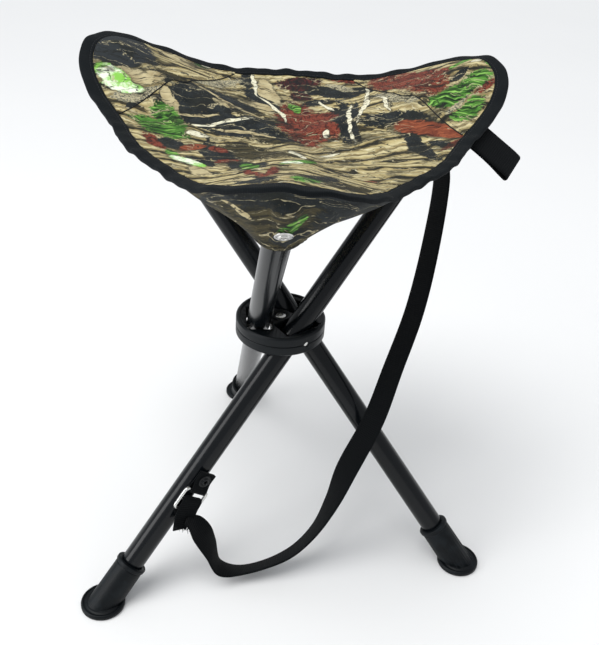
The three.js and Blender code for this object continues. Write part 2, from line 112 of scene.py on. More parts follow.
def add_camera():
    level = math.cos(CAMERA_PITCH)
    ahead = Vector((-math.sin(CAMERA_YAW) * level, math.cos(CAMERA_YAW) * level, -math.sin(CAMERA_PITCH)))
    right = Vector((math.cos(CAMERA_YAW), math.sin(CAMERA_YAW), 0))
    up = right.cross(ahead)
    tilted_right = right * math.cos(CAMERA_ROLL) + up * math.sin(CAMERA_ROLL)
    tilted_up = up * math.cos(CAMERA_ROLL) - right * math.sin(CAMERA_ROLL)
    data = bpy.data.cameras.new("camera")
    data.lens = CAMERA_LENS
    data.sensor_width = 36
    data.clip_start = 0.05
    camera = bpy.data.objects.new("camera", data)
    camera.matrix_world = Matrix.Translation(CAMERA_AT) @ Matrix(
        (tilted_right, tilted_up, -ahead)
    ).transposed().to_4x4()
    bpy.context.collection.objects.link(camera)
    bpy.context.scene.camera = camera


# ------------------------------------------------------------------ the frame's own places
class Leg:
    """One leg's axes: outward along its pin, under towards its lower side, up along its tube."""

    def __init__(self, joint, corner):
        self.body = joint["child"]
        self.pin = Vector(joint["pos_m"])
        self.outward = Vector(joint["axis"]).normalized()
        sideways = UP.cross(self.outward)
        self.up = sideways * math.sin(LEG_TILT) + UP * math.cos(LEG_TILT)
        self.under = self.up.cross(self.outward)
        self.corner = corner
        angle = SEAT_CORNER_ANGLE + corner * math.tau / 3
        self.corner_way = Vector((math.cos(angle), math.sin(angle), 0))

    def matrix(self, along=0.0, outward=0.0, under=0.0):
        """A frame on the leg: X outward, Y under, Z up the tube."""
        at = self.pin + self.up * along + self.outward * outward + self.under * under
        return Matrix.Translation(at) @ Matrix((self.outward, self.under, self.up)).transposed().to_4x4()


def quarter_turn(axis, sign=1):
    return Matrix.Rotation(sign * math.pi / 2, 4, axis)


CORNERS = {"right_leg": 0, "left_leg": 1, "front_leg": 2}
LEGS = [Leg(joint, CORNERS[joint["child"]]) for joint in frame["joints"] if joint["child"] in CORNERS]
LEG = {leg.body: leg for leg in LEGS}
HUB_CENTRE = sum((leg.pin for leg in LEGS), Vector()) / 3


# ------------------------------------------------------------------ node helper
class Shader:
    """Short calls for building one material's nodes; sockets are passed straight on as inputs."""

    def __init__(self, name):
        self.material = bpy.data.materials.new(name)
        self.material.use_nodes = True
        self.tree = self.material.node_tree
        self.surface = self.tree.nodes["Principled BSDF"]

    def feed(self, socket, value):
        if isinstance(value, bpy.types.NodeSocket):
            self.tree.links.new(value, socket)
        elif isinstance(value, (tuple, list)) and len(value) == 3 and socket.type == "RGBA":
            socket.default_value = (*value, 1)
        else:
            socket.default_value = value

    def node(self, kind, settings=None, **inputs):
        made = self.tree.nodes.new(kind)
        for key, value in (settings or {}).items():
            setattr(made, key, value)
        for key, value in inputs.items():
            self.feed(made.inputs[key.replace("_", " ")], value)
        return made

    def set(self, **inputs):
        for key, value in inputs.items():
            self.feed(self.surface.inputs[key.replace("_", " ")], value)

    def uv(self):
        return self.node("ShaderNodeUVMap", {"uv_map": "cloth"}).outputs["UV"]

    def rest(self):
        return self.node("ShaderNodeTexCoord").outputs["Object"]

    def field(self, name):
        return self.node("ShaderNodeAttribute", {"attribute_name": name}).outputs["Fac"]

    def placed(self, vector, scale, turn=0.0):
        made = self.node("ShaderNodeMapping", Vector=vector, Scale=scale)
        made.inputs["Rotation"].default_value = (0, 0, turn)
        return made.outputs["Vector"]

    def noise(self, vector, scale, detail=3.0, roughness=0.5, output="Fac"):
        return self.node(
            "ShaderNodeTexNoise", Vector=vector, Scale=scale, Detail=detail, Roughness=roughness,
        ).outputs[output]

    def wave(self, vector, period, distortion=0.0, detail=2.0, detail_scale=1.0, direction="X"):
        return self.node(
            "ShaderNodeTexWave", {"bands_direction": direction}, Vector=vector, Scale=math.pi / 10 / period,
            Distortion=distortion, Detail=detail, Detail_Scale=detail_scale,
        ).outputs["Fac"]

    def pair(self, kind, operation, a, b):
        made = self.node(kind, {"operation": operation})
        self.feed(made.inputs[0], a)
        self.feed(made.inputs[1], b)
        return made.outputs[0]

    def maths(self, operation, a, b=0.0):
        return self.pair("ShaderNodeMath", operation, a, b)

    def times(self, value, factor, plus=None):
        """The value times the factor, and then plus a second value where one is given."""
        made = self.maths("MULTIPLY", value, factor)
        return made if plus is None else self.maths("ADD", made, plus)

    def vector(self, operation, a, b):
        return self.pair("ShaderNodeVectorMath", operation, a, b)

    def near(self, value, middle, outer, inner):
        """1 where the value is within inner of the middle, 0 beyond outer."""
        return self.step(self.maths("ABSOLUTE", self.maths("SUBTRACT", value, middle)), outer, inner)

    def step(self, value, low, high):
        """0 below low, 1 above high, smooth between."""
        made = self.node("ShaderNodeMapRange", {"interpolation_type": "SMOOTHSTEP"})
        self.feed(made.inputs["Value"], value)
        self.feed(made.inputs["From Min"], low)
        self.feed(made.inputs["From Max"], high)
        return made.outputs["Result"]

    def mix(self, share, a, b):
        made = self.node("ShaderNodeMix", {"data_type": "RGBA"})
        self.feed(made.inputs["Factor"], share)
        self.feed(made.inputs[6], a)
        self.feed(made.inputs[7], b)
        return made.outputs[2]

    def ramp(self, value, *stops):
        made = self.node("ShaderNodeValToRGB")
        self.feed(made.inputs["Fac"], value)
        elements = made.color_ramp.elements
        while len(elements) < len(stops):
            elements.new(0.5)
        for element, (place, colour) in zip(elements, stops):
            element.position = place
            element.color = (*colour, 1)
        return made.outputs["Color"]

    def bump(self, height, strength, distance, normal=None):
        made = self.node("ShaderNodeBump", Height=height, Strength=strength, Distance=distance)
        if normal is not None:
            self.feed(made.inputs["Normal"], normal)
        return made.outputs["Normal"]


# ------------------------------------------------------------------ materials
def powder_coat():
    """Glossy black powder coat over steel, with its fine orange peel."""
    s = Shader("powder_coat")
    place = s.rest()
    speck = s.noise(place, 900, 2)
    peel = s.noise(place, 420, 2)
    scuff = s.step(s.noise(s.placed(place, (1, 1, 0.25)), 55, 5, 0.7), 0.56, 0.72)
    s.set(Base_Color=s.mix(scuff, (0.0025, 0.0035, 0.0045), (0.006, 0.008, 0.010)))
    rough = s.times(speck, 0.10, s.times(scuff, 0.06))
    s.set(Roughness=s.maths("ADD", rough, 0.13), Specular_IOR_Level=0.24)
    s.set(Normal=s.bump(peel, 0.10, 0.0004))
    return s.material


def moulded_plastic():
    """Black moulded nylon with a fine spark-eroded texture."""
    s = Shader("moulded_plastic")
    place = s.rest()
    grain = s.noise(place, 1500, 3, 0.6)
    cloud = s.noise(place, 60, 3)
    s.set(Base_Color=s.mix(cloud, (0.003, 0.0045, 0.0055), (0.006, 0.008, 0.0095)))
    s.set(Roughness=s.step(cloud, -0.9, 2.4), Specular_IOR_Level=0.18)
    s.set(Normal=s.bump(grain, 0.16, 0.0004))
    return s.material


def black_rubber():
    """Moulded rubber, satin, with a dusty bloom in places."""
    s = Shader("black_rubber")
    place = s.rest()
    bloom = s.step(s.noise(place, 70, 5, 0.65), 0.42, 0.75)
    grain = s.noise(place, 1800, 3, 0.6)
    s.set(Base_Color=s.mix(bloom, (0.003, 0.0042, 0.0052), (0.009, 0.012, 0.0145)))
    s.set(Roughness=s.times(bloom, 0.16, 0.42), Specular_IOR_Level=0.15)
    s.set(Normal=s.bump(grain, 0.18, 0.0004))
    return s.material


def plated_steel():
    """Nickel plate, finely brushed, a little tarnished."""
    s = Shader("plated_steel")
    place = s.rest()
    tarnish = s.step(s.noise(place, 120, 4, 0.6), 0.45, 0.8)
    brushed = s.noise(s.placed(place, (1, 1, 12)), 300, 3)
    s.set(Base_Color=s.mix(tarnish, (0.66, 0.66, 0.64), (0.40, 0.39, 0.36)), Metallic=1.0)
    s.set(Roughness=s.times(brushed, 0.16, 0.16))
    s.set(Normal=s.bump(brushed, 0.08, 0.0003))
    return s.material


def woven_black(name, rib, across, tint):
    """Black woven tape: ribs of one pitch along it, crossed by finer yarns."""
    s = Shader(name)
    place = s.uv()
    ribs = s.wave(place, rib, 0.6, 1, 2.0, "Y")
    yarns = s.wave(place, across, 0.5, 1, 2.0, "X")
    cloud = s.noise(place, 90, 4, 0.6)
    fuzz = s.noise(place, 2600, 3, 0.7)
    weave = s.times(ribs, s.times(yarns, 0.5, 0.5))
    dark = tuple(0.45 * c for c in tint)
    s.set(Base_Color=s.mix(s.times(weave, s.maths("ADD", cloud, 0.35)), dark, tint))
    s.set(Roughness=s.times(fuzz, 0.15, 0.72))
    s.set(Specular_IOR_Level=0.08, Sheen_Weight=0.02, Sheen_Roughness=0.5)
    s.set(Normal=s.bump(s.times(fuzz, 0.35, weave), 0.45, 0.0005))
    return s.material


def thread(name, tint):
    """Twisted sewing thread."""
    s = Shader(name)
    place = s.rest()
    twist = s.noise(place, 1400, 2)
    s.set(Base_Color=s.mix(twist, tuple(0.5 * c for c in tint), tint))
    s.set(Roughness=0.6, Sheen_Weight=0.05, Specular_IOR_Level=0.2)
    s.set(Normal=s.bump(twist, 0.3, 0.0003))
    return s.material


# The print: every colour has its own field on the cloth's vertices, 1 deep inside a shape, 0 on its
# outline and less outside, and the shader breaks the outlines up into leaves, bark and twigs.
PRINT_COLOURS = (
    "olive", "slate", "tan", "lichen", "maroon", "rust", "green", "orange", "lime", "cream", "charcoal",
)


def camo_cloth():
    """Woven polyester with a generic foliage print."""
    s = Shader("camo_cloth")
    cloth = s.uv()
    millimetres = s.placed(cloth, (1000, 1000, 1000))
    warp = s.vector("SUBTRACT", s.noise(millimetres, 0.035, 3, output="Color"), (0.5, 0.5, 0.5))
    warped = s.vector("ADD", millimetres, s.vector("MULTIPLY", warp, (30, 30, 0)))
    coarse = s.noise(millimetres, 0.07, 4, 0.6)
    fine = s.noise(millimetres, 0.42, 4, 0.7)
    crumbs = s.noise(millimetres, 0.9, 3, 0.7)
    edge = s.maths("SUBTRACT", s.times(coarse, 0.4, s.times(fine, 0.6)), 0.5)
    sideways = s.noise(s.placed(warped, (0.045, 0.26, 1), 0.25), 1.0, 4, 0.7)
    upright = s.noise(s.placed(warped, (0.42, 0.07, 1), -0.2), 1.0, 4, 0.7)
    slanting = s.noise(s.placed(warped, (0.055, 0.50, 1), 0.75), 1.0, 3, 0.65)
    needles = s.noise(s.placed(warped, (0.050, 0.40, 1), -0.55), 1.0, 3, 0.6)

    # bark: tan ground with dark lines that run and bend together
    turned = s.step(s.noise(s.placed(millimetres, (0.011, 0.011, 1)), 1.0, 2, 0.4), 0.49, 0.51)
    unturned = s.maths("SUBTRACT", 1.0, turned)
    lines, hairs = (
        s.times(turned, s.wave(s.placed(warped, (0.42, 1, 1), -0.75), *form),
                s.times(unturned, s.wave(s.placed(warped, (0.42, 1, 1), 0.30), *form)))
        for form in ((19.0, 13.0, 2, 0.022, "Y"), (8.0, 9.0, 2, 0.040, "Y"))
    )
    bark = s.ramp(
        lines, (0.0, (0.014, 0.014, 0.010)), (0.09, (0.050, 0.042, 0.022)), (0.17, (0.33, 0.26, 0.115)),
        (0.50, (0.52, 0.43, 0.205)), (0.85, (0.66, 0.58, 0.33)), (1.0, (0.31, 0.24, 0.105)),
    )
    bark = s.mix(s.times(s.step(hairs, 0.16, 0.04), 0.55), bark, (0.085, 0.066, 0.030))
    bark = s.mix(s.step(sideways, 0.40, 0.33), bark, (0.78, 0.73, 0.50))
    bark = s.mix(s.times(s.step(crumbs, 0.58, 0.70), 0.7), bark, (0.10, 0.082, 0.042))

    green = s.ramp(
        needles, (0.36, (0.008, 0.016, 0.008)), (0.45, (0.024, 0.075, 0.013)), (0.54, (0.075, 0.23, 0.032)),
        (0.64, (0.27, 0.52, 0.11)),
    )
    charcoal = s.mix(fine, (0.014, 0.017, 0.019), (0.036, 0.042, 0.046))
    flecks = s.times(crumbs, fine)
    leaves = s.times(fine, 0.5, coarse)
    # name, how ragged, how dark its outline, ground colour, then (mask, low, high, colour) over it in turn
    layers = (
        ("olive", 2.0, 0.0, (0.070, 0.058, 0.026), (sideways, 0.42, 0.58, (0.014, 0.014, 0.009)),
         (fine, 0.60, 0.70, (0.18, 0.15, 0.075)), (crumbs, 0.56, 0.68, (0.025, 0.025, 0.016))),
        ("slate", 1.9, 0.0, (0.007, 0.010, 0.011), (coarse, 0.35, 0.7, (0.024, 0.029, 0.031)),
         (upright, 0.58, 0.68, (0.055, 0.058, 0.050)), (flecks, 0.34, 0.42, (0.26, 0.235, 0.14))),
        ("lichen", 1.5, 0.3, (0.46, 0.41, 0.25), (fine, 0.42, 0.60, (0.085, 0.088, 0.072)),
         (crumbs, 0.56, 0.64, (0.72, 0.68, 0.50))),
        ("tan", 1.0, 0.7, (0.58, 0.50, 0.29), (coarse, 0.30, 0.70, (0.36, 0.29, 0.15)),
         (upright, 0.60, 0.70, (0.20, 0.15, 0.075))),
        ("maroon", 1.5, 0.0, (0.011, 0.009, 0.011), (upright, 0.42, 0.64, (0.100, 0.022, 0.019))),
        ("rust", 1.7, 0.3, (0.036, 0.008, 0.007), (upright, 0.36, 0.58, (0.22, 0.048, 0.028)),
         (slanting, 0.60, 0.68, (0.36, 0.15, 0.08)), (crumbs, 0.56, 0.66, (0.022, 0.009, 0.008))),
        ("green", 2.0, 0.3, green),
        ("orange", 0.6, 0.8, (0.33, 0.094, 0.042), (sideways, 0.36, 0.62, (0.13, 0.030, 0.017))),
        ("lime", 1.0, 0.5, (0.90, 0.94, 0.76), (leaves, 0.62, 0.86, (0.25, 0.58, 0.085))),
        ("cream", 0.7, 0.7, (0.82, 0.79, 0.60), (fine, 0.45, 0.72, (0.42, 0.36, 0.20))),
        ("charcoal", 0.3, 0.4, charcoal),
    )
    colour = bark
    for name, ragged, outline, tone, *over in layers:
        for mask, low, high, tint in over:
            tone = s.mix(s.step(mask, low, high), tone, tint)
        value = s.times(edge, ragged, s.field(name))
        if outline:
            shade = s.times(s.step(value, -0.45, -0.05), outline)
            colour = s.mix(shade, colour, (0.024, 0.025, 0.020))
        colour = s.mix(s.step(value, -0.06, 0.06), colour, tone)

    # shade between the leaves, dark gaps, and pale stalks that cross everything
    shade = s.noise(s.placed(warped, (0.024, 0.042, 1), 0.5), 1.0, 5, 0.62)
    colour = s.mix(s.times(s.step(shade, 0.53, 0.62), 0.72), colour, (0.014, 0.016, 0.013))
    gaps = s.noise(s.placed(warped, (0.020, 0.075, 1), -0.5), 1.0, 4, 0.55)
    gaps = s.near(gaps, 0.5, 0.016, 0.007)
    colour = s.mix(s.times(gaps, 0.85), colour, (0.014, 0.015, 0.013))
    stalks = s.noise(s.placed(warped, (0.016, 0.060, 1), 0.85), 1.0, 3, 0.5)
    stalks = s.near(stalks, 0.53, 0.008, 0.003)
    stalks = s.times(stalks, s.step(fine, 0.40, 0.52))
    colour = s.mix(s.times(stalks, 0.8), colour, (0.50, 0.44, 0.27))

    # the weave itself
    warp_yarn = s.wave(cloth, 0.62 * MM, 0.3, 1, 2.0, "X")
    weft_yarn = s.wave(cloth, 0.62 * MM, 0.3, 1, 2.0, "Y")
    weave = s.times(warp_yarn, weft_yarn)
    colour = s.mix(s.times(weave, 0.2), colour, (0.016, 0.016, 0.014))
    s.set(Base_Color=colour, Specular_IOR_Level=0.12, Sheen_Weight=0.02, Sheen_Roughness=0.4)
    s.set(Roughness=s.times(weave, 0.14, 0.66))
    s.set(Normal=s.bump(weave, 0.35, 0.0004, s.bump(s.noise(cloth, 60, 4, 0.6), 0.25, 0.002)))
    return s.material


MATERIALS = {
    "powder_coat": powder_coat(),
    "hub_plastic": moulded_plastic(),
    "black_rubber": black_rubber(),
    "plated_steel": plated_steel(),
    "camo_cloth": camo_cloth(),
    "black_webbing": woven_black("black_webbing", 1.9 * MM, 0.9 * MM, (0.0030, 0.0042, 0.0052)),
    "binding_tape": woven_black("binding_tape", 1.2 * MM, 0.8 * MM, (0.0075, 0.0105, 0.0125)),
    # Black thread for stitches and frayed yarns; it also colours the corner seams' cord, which is painted
    # shade for their shadow lines.
    "black_thread_and_seam_shade": thread("black_thread_and_seam_shade", (0.012, 0.014, 0.016)),
}


# ------------------------------------------------------------------ mesh helpers
def as_object(name, mesh, material):
    obj = bpy.data.objects.new(name, mesh)
    bpy.context.collection.objects.link(obj)
    mesh.materials.clear()
    mesh.materials.append(MATERIALS[material])
    return obj


def tidy_mesh(mesh, sharp_angle=None):
    bm = bmesh.new()
    bm.from_mesh(mesh)
    bmesh.ops.remove_doubles(bm, verts=bm.verts, dist=1e-7)
    bmesh.ops.recalc_face_normals(bm, faces=bm.faces)
    bm.to_mesh(mesh)
    bm.free()
    mesh.polygons.foreach_set("use_smooth", [True] * len(mesh.polygons))
    if sharp_angle is not None:
        mesh.set_sharp_from_angle(angle=math.radians(sharp_angle))


def put_uv(mesh, per_vertex):
    layer = mesh.uv_layers.new(name="cloth")
    vertex = np.empty(len(mesh.loops), int)
    mesh.loops.foreach_get("vertex_index", vertex)
    layer.data.foreach_set("uv", np.asarray(per_vertex, np.float32)[vertex].ravel())


def grid_faces(index, wrap):
    if wrap:
        index = np.concatenate([index, index[:, :1]], 1)
    corners = (index[:-1, :-1], index[1:, :-1], index[1:, 1:], index[:-1, 1:])
    return np.stack(corners, -1).reshape(-1, 4)


def new_mesh(name, points, faces, uv):
    mesh = bpy.data.meshes.new(name)
    mesh.from_pydata(np.asarray(points).tolist(), [], [[int(v) for v in face] for face in faces])
    mesh.polygons.foreach_set("use_smooth", [True] * len(mesh.polygons))
    put_uv(mesh, uv)
    return mesh


def skin_mesh(name, upper, lower, uv, normals):
    """A closed thin solid between two grids of points, shaded by the given normals of its upper side."""
    turn = np.cross(upper[-1, 0] - upper[0, 0], upper[-1, 1] - upper[-1, 0])
    if turn @ normals[-1, 0] < 0:
        upper, lower, uv, normals = (grid[:, ::-1] for grid in (upper, lower, uv, normals))
    rows, columns = upper.shape[:2]
    under = rows * columns
    top = np.arange(under).reshape(rows, columns)
    loop = np.concatenate([top[0, :], top[1:, -1], top[-1, -2::-1], top[-2:0:-1, 0]])
    after = np.roll(loop, -1)
    walls = np.stack([loop, after, after + under, loop + under], -1)
    points = np.concatenate([upper.reshape(-1, 3), lower.reshape(-1, 3)])
    shading = np.concatenate([normals.reshape(-1, 3), -normals.reshape(-1, 3)])
    uv = np.concatenate([uv.reshape(-1, 2)] * 2)
    _, first, welded = np.unique(np.round(points, 7), axis=0, return_index=True, return_inverse=True)
    welded = welded.ravel()
    skins = np.concatenate([grid_faces(top, False), grid_faces(top + under, False)[:, ::-1]])
    faces, loop_normals = [], []
    for number, face in enumerate(np.concatenate([skins, walls])):
        kept = [v for i, v in enumerate(face) if welded[v] != welded[face[i - 1]]]
        if len(kept) < 3:
            continue
        faces.append(welded[kept])
        flat = np.cross(points[kept[1]] - points[kept[0]], points[kept[2]] - points[kept[1]])
        flat = flat / max(np.linalg.norm(flat), 1e-15)
        loop_normals += [tuple(shading[v]) if number < len(skins) else tuple(flat) for v in kept]
    mesh = new_mesh(name, points[first], faces, uv[first])
    mesh.normals_split_custom_set(loop_normals)
    return mesh


def tube_faces(index):
    """Faces of a closed tube from the numbers of its rings of points, with both ends filled."""
    return grid_faces(index, True).tolist() + [index[0, ::-1].tolist(), index[-1].tolist()]


def sweep_mesh(name, rings, uv):
    """A closed solid from rings of points, each ring one closed section, with flat ends."""
    rows, columns = rings.shape[:2]
    index = np.arange(rows * columns).reshape(rows, columns)
    mesh = new_mesh(name, rings.reshape(-1, 3), tube_faces(index), uv.reshape(-1, 2))
    tidy_mesh(mesh, 50)
    return mesh


def loop_mesh(name, rings):
    """A closed solid from rings of points that run round a closed path."""
    index = np.arange(rings.shape[0] * rings.shape[1]).reshape(rings.shape[:2])
    index = np.concatenate([index, index[:1]])
    mesh = new_mesh(name, rings.reshape(-1, 3), grid_faces(index, True), np.zeros((rings[..., 0].size, 2)))
    tidy_mesh(mesh, 50)
    return mesh


def turned_mesh(name, section, segments=96):
    """(radius, height) points turned about Z. A section that starts off the axis closes on itself."""
    radius, height = np.array(section, float).T
    angle = np.arange(segments) / segments * math.tau
    rings = np.stack([
        np.outer(radius, np.cos(angle)), np.outer(radius, np.sin(angle)),
        np.repeat(height[:, None], segments, 1),
    ], -1)
    index = np.arange(len(section) * segments).reshape(len(section), segments)
    if radius[0] > 0:
        index = np.concatenate([index, index[:1]])
    around = np.outer(np.maximum(radius, 1 * MM), angle)
    uv = np.stack([around, np.repeat(height[:, None], segments, 1)], -1)
    mesh = new_mesh(name, rings.reshape(-1, 3), grid_faces(index, True), uv.reshape(-1, 2))
    tidy_mesh(mesh, 32)
    return mesh


def rounded(points, radius, steps=3):
    """A run of 2-D points with its inner corners rounded."""
    made = [tuple(points[0])]
    for before, corner, after in zip(points, points[1:], points[2:]):
        a, b, c = (np.array(p, float) for p in (before, corner, after))
        reach = min(radius, np.linalg.norm(a - b) / 2.1, np.linalg.norm(c - b) / 2.1)
        start = b + (a - b) / np.linalg.norm(a - b) * reach
        end = b + (c - b) / np.linalg.norm(c - b) * reach
        for share in np.linspace(0, 1, steps + 1):
            made.append(tuple((1 - share) ** 2 * start + 2 * share * (1 - share) * b + share ** 2 * end))
    made.append(tuple(points[-1]))
    return made


def spline(points, per_span=24):
    """Centripetal Catmull-Rom curve through rows of points; extra columns are carried along with them."""
    p = np.array(points, float)
    p = np.concatenate([[2 * p[0] - p[1]], p, [2 * p[-1] - p[-2]]])
    knot = np.concatenate([[0], np.cumsum(np.linalg.norm(np.diff(p[:, :3], axis=0), axis=1) ** 0.5)])
    line = []
    for i in range(1, len(p) - 2):
        k = knot[i - 1:i + 3]
        for t in np.linspace(k[1], k[2], per_span, endpoint=False):
            a = [
                (p[i - 1 + j] * (k[j + 1] - t) + p[i + j] * (t - k[j])) / (k[j + 1] - k[j])
                for j in range(3)
            ]
            b = [(a[j] * (k[j + 2] - t) + a[j + 1] * (t - k[j])) / (k[j + 2] - k[j]) for j in range(2)]
            line.append((b[0] * (k[2] - t) + b[1] * (t - k[1])) / (k[2] - k[1]))
    line.append(p[-2])
    return np.array(line)


def run_along(line):
    """Distance from a line's start at each of its points."""
    return np.concatenate([[0], np.cumsum(np.linalg.norm(np.diff(line, axis=0), axis=1))])


def picked(at, run, rows):
    """Rows read off at the given distances along their line."""
    return np.stack([np.interp(at, run, rows[:, k]) for k in range(rows.shape[1])], -1)


def evenly(line, count):
    run = run_along(line[:, :3])
    return picked(np.linspace(0, run[-1], count), run, line)


def unit(vectors):
    return vectors / np.maximum(np.linalg.norm(vectors, axis=-1, keepdims=True), 1e-12)


def circle(count, side, up):
    """Points of a unit circle at each place of a line, from the two directions across it."""
    angle = np.arange(count) / count * math.tau
    return np.cos(angle)[None, :, None] * side[:, None] + np.sin(angle)[None, :, None] * up[:, None]


def keep_result(obj, angle=35):
    """Applies an object's modifiers and leaves the result as its mesh."""
    bpy.context.view_layer.update()
    result = bpy.data.meshes.new_from_object(obj.evaluated_get(bpy.context.evaluated_depsgraph_get()))
    obj.modifiers.clear()
    obj.data = result
    result.polygons.foreach_set("use_smooth", [True] * len(result.polygons))
    result.set_sharp_from_angle(angle=math.radians(angle))


def combine(obj, operation, *others):
    """Boolean of obj with the others, which are used up."""
    for other in others:
        modifier = obj.modifiers.new("combine", "BOOLEAN")
        modifier.operation = operation
        modifier.solver = "EXACT"
        modifier.object = other
    keep_result(obj)
    for other in others:
        bpy.data.objects.remove(other)


def round_edges(obj, width, angle=40):
    modifier = obj.modifiers.new("edges", "BEVEL")
    modifier.width = width
    modifier.segments = 2
    modifier.limit_method = "ANGLE"
    modifier.angle_limit = math.radians(angle)
    modifier.harden_normals = True
    keep_result(obj)


def tool(mesh, matrix=None):
    """A working solid for a boolean, in world places."""
    if matrix is not None:
        mesh.transform(matrix)
    obj = bpy.data.objects.new(mesh.name, mesh)
    bpy.context.collection.objects.link(obj)
    return obj


def rod_mesh(radius, low, high, segments=48):
    return turned_mesh("rod", [(0, low), (radius, low), (radius, high), (0, high)], segments)


def block_mesh(low, high, radius=0.2 * MM):
    """A box between two corners with its upright edges rounded."""
    (x0, y0, z0), (x1, y1, z1) = low, high
    outline = rounded([((x0 + x1) / 2, y0), (x1, y0), (x1, y1), (x0, y1), (x0, y0), ((x0 + x1) / 2, y0)],
                      radius, 4)[:-1]
    rings = np.array([[(x, y, z) for x, y in outline] for z in (z0, z1)])
    return sweep_mesh("block", rings, np.zeros((*rings.shape[:2], 2)))


def stitches(name, path, normals, pitch, width):
    """A row of sewn stitches on a path of points, each a small spindle of thread."""
    run = run_along(path)
    shares = np.array([0, 0.12, 0.5, 0.88, 1.0])
    sizes = np.array([0.2, 0.8, 1.0, 0.8, 0.2])
    points, faces = [], []
    for start in np.arange(pitch * 0.2, run[-1] - pitch * 0.8, pitch):
        at = start + shares * pitch * 0.74
        line = picked(at, run, path)
        up = unit(picked(at, run, normals))
        side = unit(np.cross(up, line[-1] - line[0]))
        spindle = sizes[:, None, None] * width / 2 * circle(6, side, up)
        ring = line[:, None] + up[:, None] * width * 0.1 + spindle
        index = len(points) * 30 + np.arange(30).reshape(5, 6)
        faces += tube_faces(index)
        points.append(ring.reshape(-1, 3))
    mesh = new_mesh(name, np.concatenate(points), faces, np.zeros((len(points) * 30, 2)))
    tidy_mesh(mesh)
    return as_object(name, mesh, "black_thread_and_seam_shade")


# ------------------------------------------------------------------ seat surface
def corner_share(bearing):
    """1 at a corner, 0 at the middle of an edge; bearings are from the right corner."""
    return (1 + np.cos(3 * bearing)) / 2


def rim_reach(bearing):
    return SEAT_EDGE_REACH + (SEAT_CORNER_REACH - SEAT_EDGE_REACH) * corner_share(bearing) ** 2.1


def seat_height(bearing, reach):
    corner = corner_share(bearing)
    share = np.minimum(reach / rim_reach(bearing), 1.05)
    rim = SEAT_EDGE_HEIGHT + (SEAT_CORNER_HEIGHT - SEAT_EDGE_HEIGHT) * corner ** 3.4
    sag = (rim - SEAT_CENTRE_HEIGHT) * share ** (1.9 - 0.7 * corner)
    fold = math.tau / 3
    nearest = bearing - fold * np.round(bearing / fold)
    from_tube_end = np.hypot(reach * np.cos(nearest) - TUBE_END_REACH, reach * np.sin(nearest))
    lift = TUBE_END_LIFT * np.exp(-((from_tube_end / (20 * MM)) ** 2))
    edge = np.clip(1 - (rim_reach(bearing) - reach) / (34 * MM), 0, 1.1) ** 2
    pucker = edge * (0.55 * MM * np.sin(29 * bearing + 1.1) + 0.45 * MM * np.sin(47 * bearing))
    along, across = reach * np.cos(nearest), reach * np.sin(nearest)
    pull = np.exp(-((along - 150 * MM) / (45 * MM)) ** 2) * np.exp(-((across / (30 * MM)) ** 2))
    tension = 0.5 * MM * pull * np.cos(across / (4.6 * MM) + along / (30 * MM))
    return SEAT_CENTRE_HEIGHT + sag + lift + pucker + tension


def seat_place(bearing, reach, lift=0.0):
    """Point over the seat cloth's middle; all three may be arrays."""
    bearing, reach, lift = np.broadcast_arrays(bearing, reach, lift)
    angle = SEAT_CORNER_ANGLE + bearing
    return np.stack([
        HUB_CENTRE.x + reach * np.cos(angle), HUB_CENTRE.y + reach * np.sin(angle),
        seat_height(bearing, reach) + lift,
    ], -1)


def seat_normal(bearing, reach):
    turn, step = 1e-3, 0.2 * MM
    along = seat_place(bearing, reach + step) - seat_place(bearing, np.maximum(reach - step, 0))
    reach = np.maximum(reach, 1 * MM)
    around = seat_place(bearing + turn, reach) - seat_place(bearing - turn, reach)
    return unit(np.cross(along, around))


def corner_blend(obj):
    """Bakes the object's placement into its mesh and returns it."""
    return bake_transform(obj)


def sector_bearings(leg, count):
    middle = leg.corner * math.tau / 3
    return middle + np.linspace(-math.pi / 3, math.pi / 3, count)


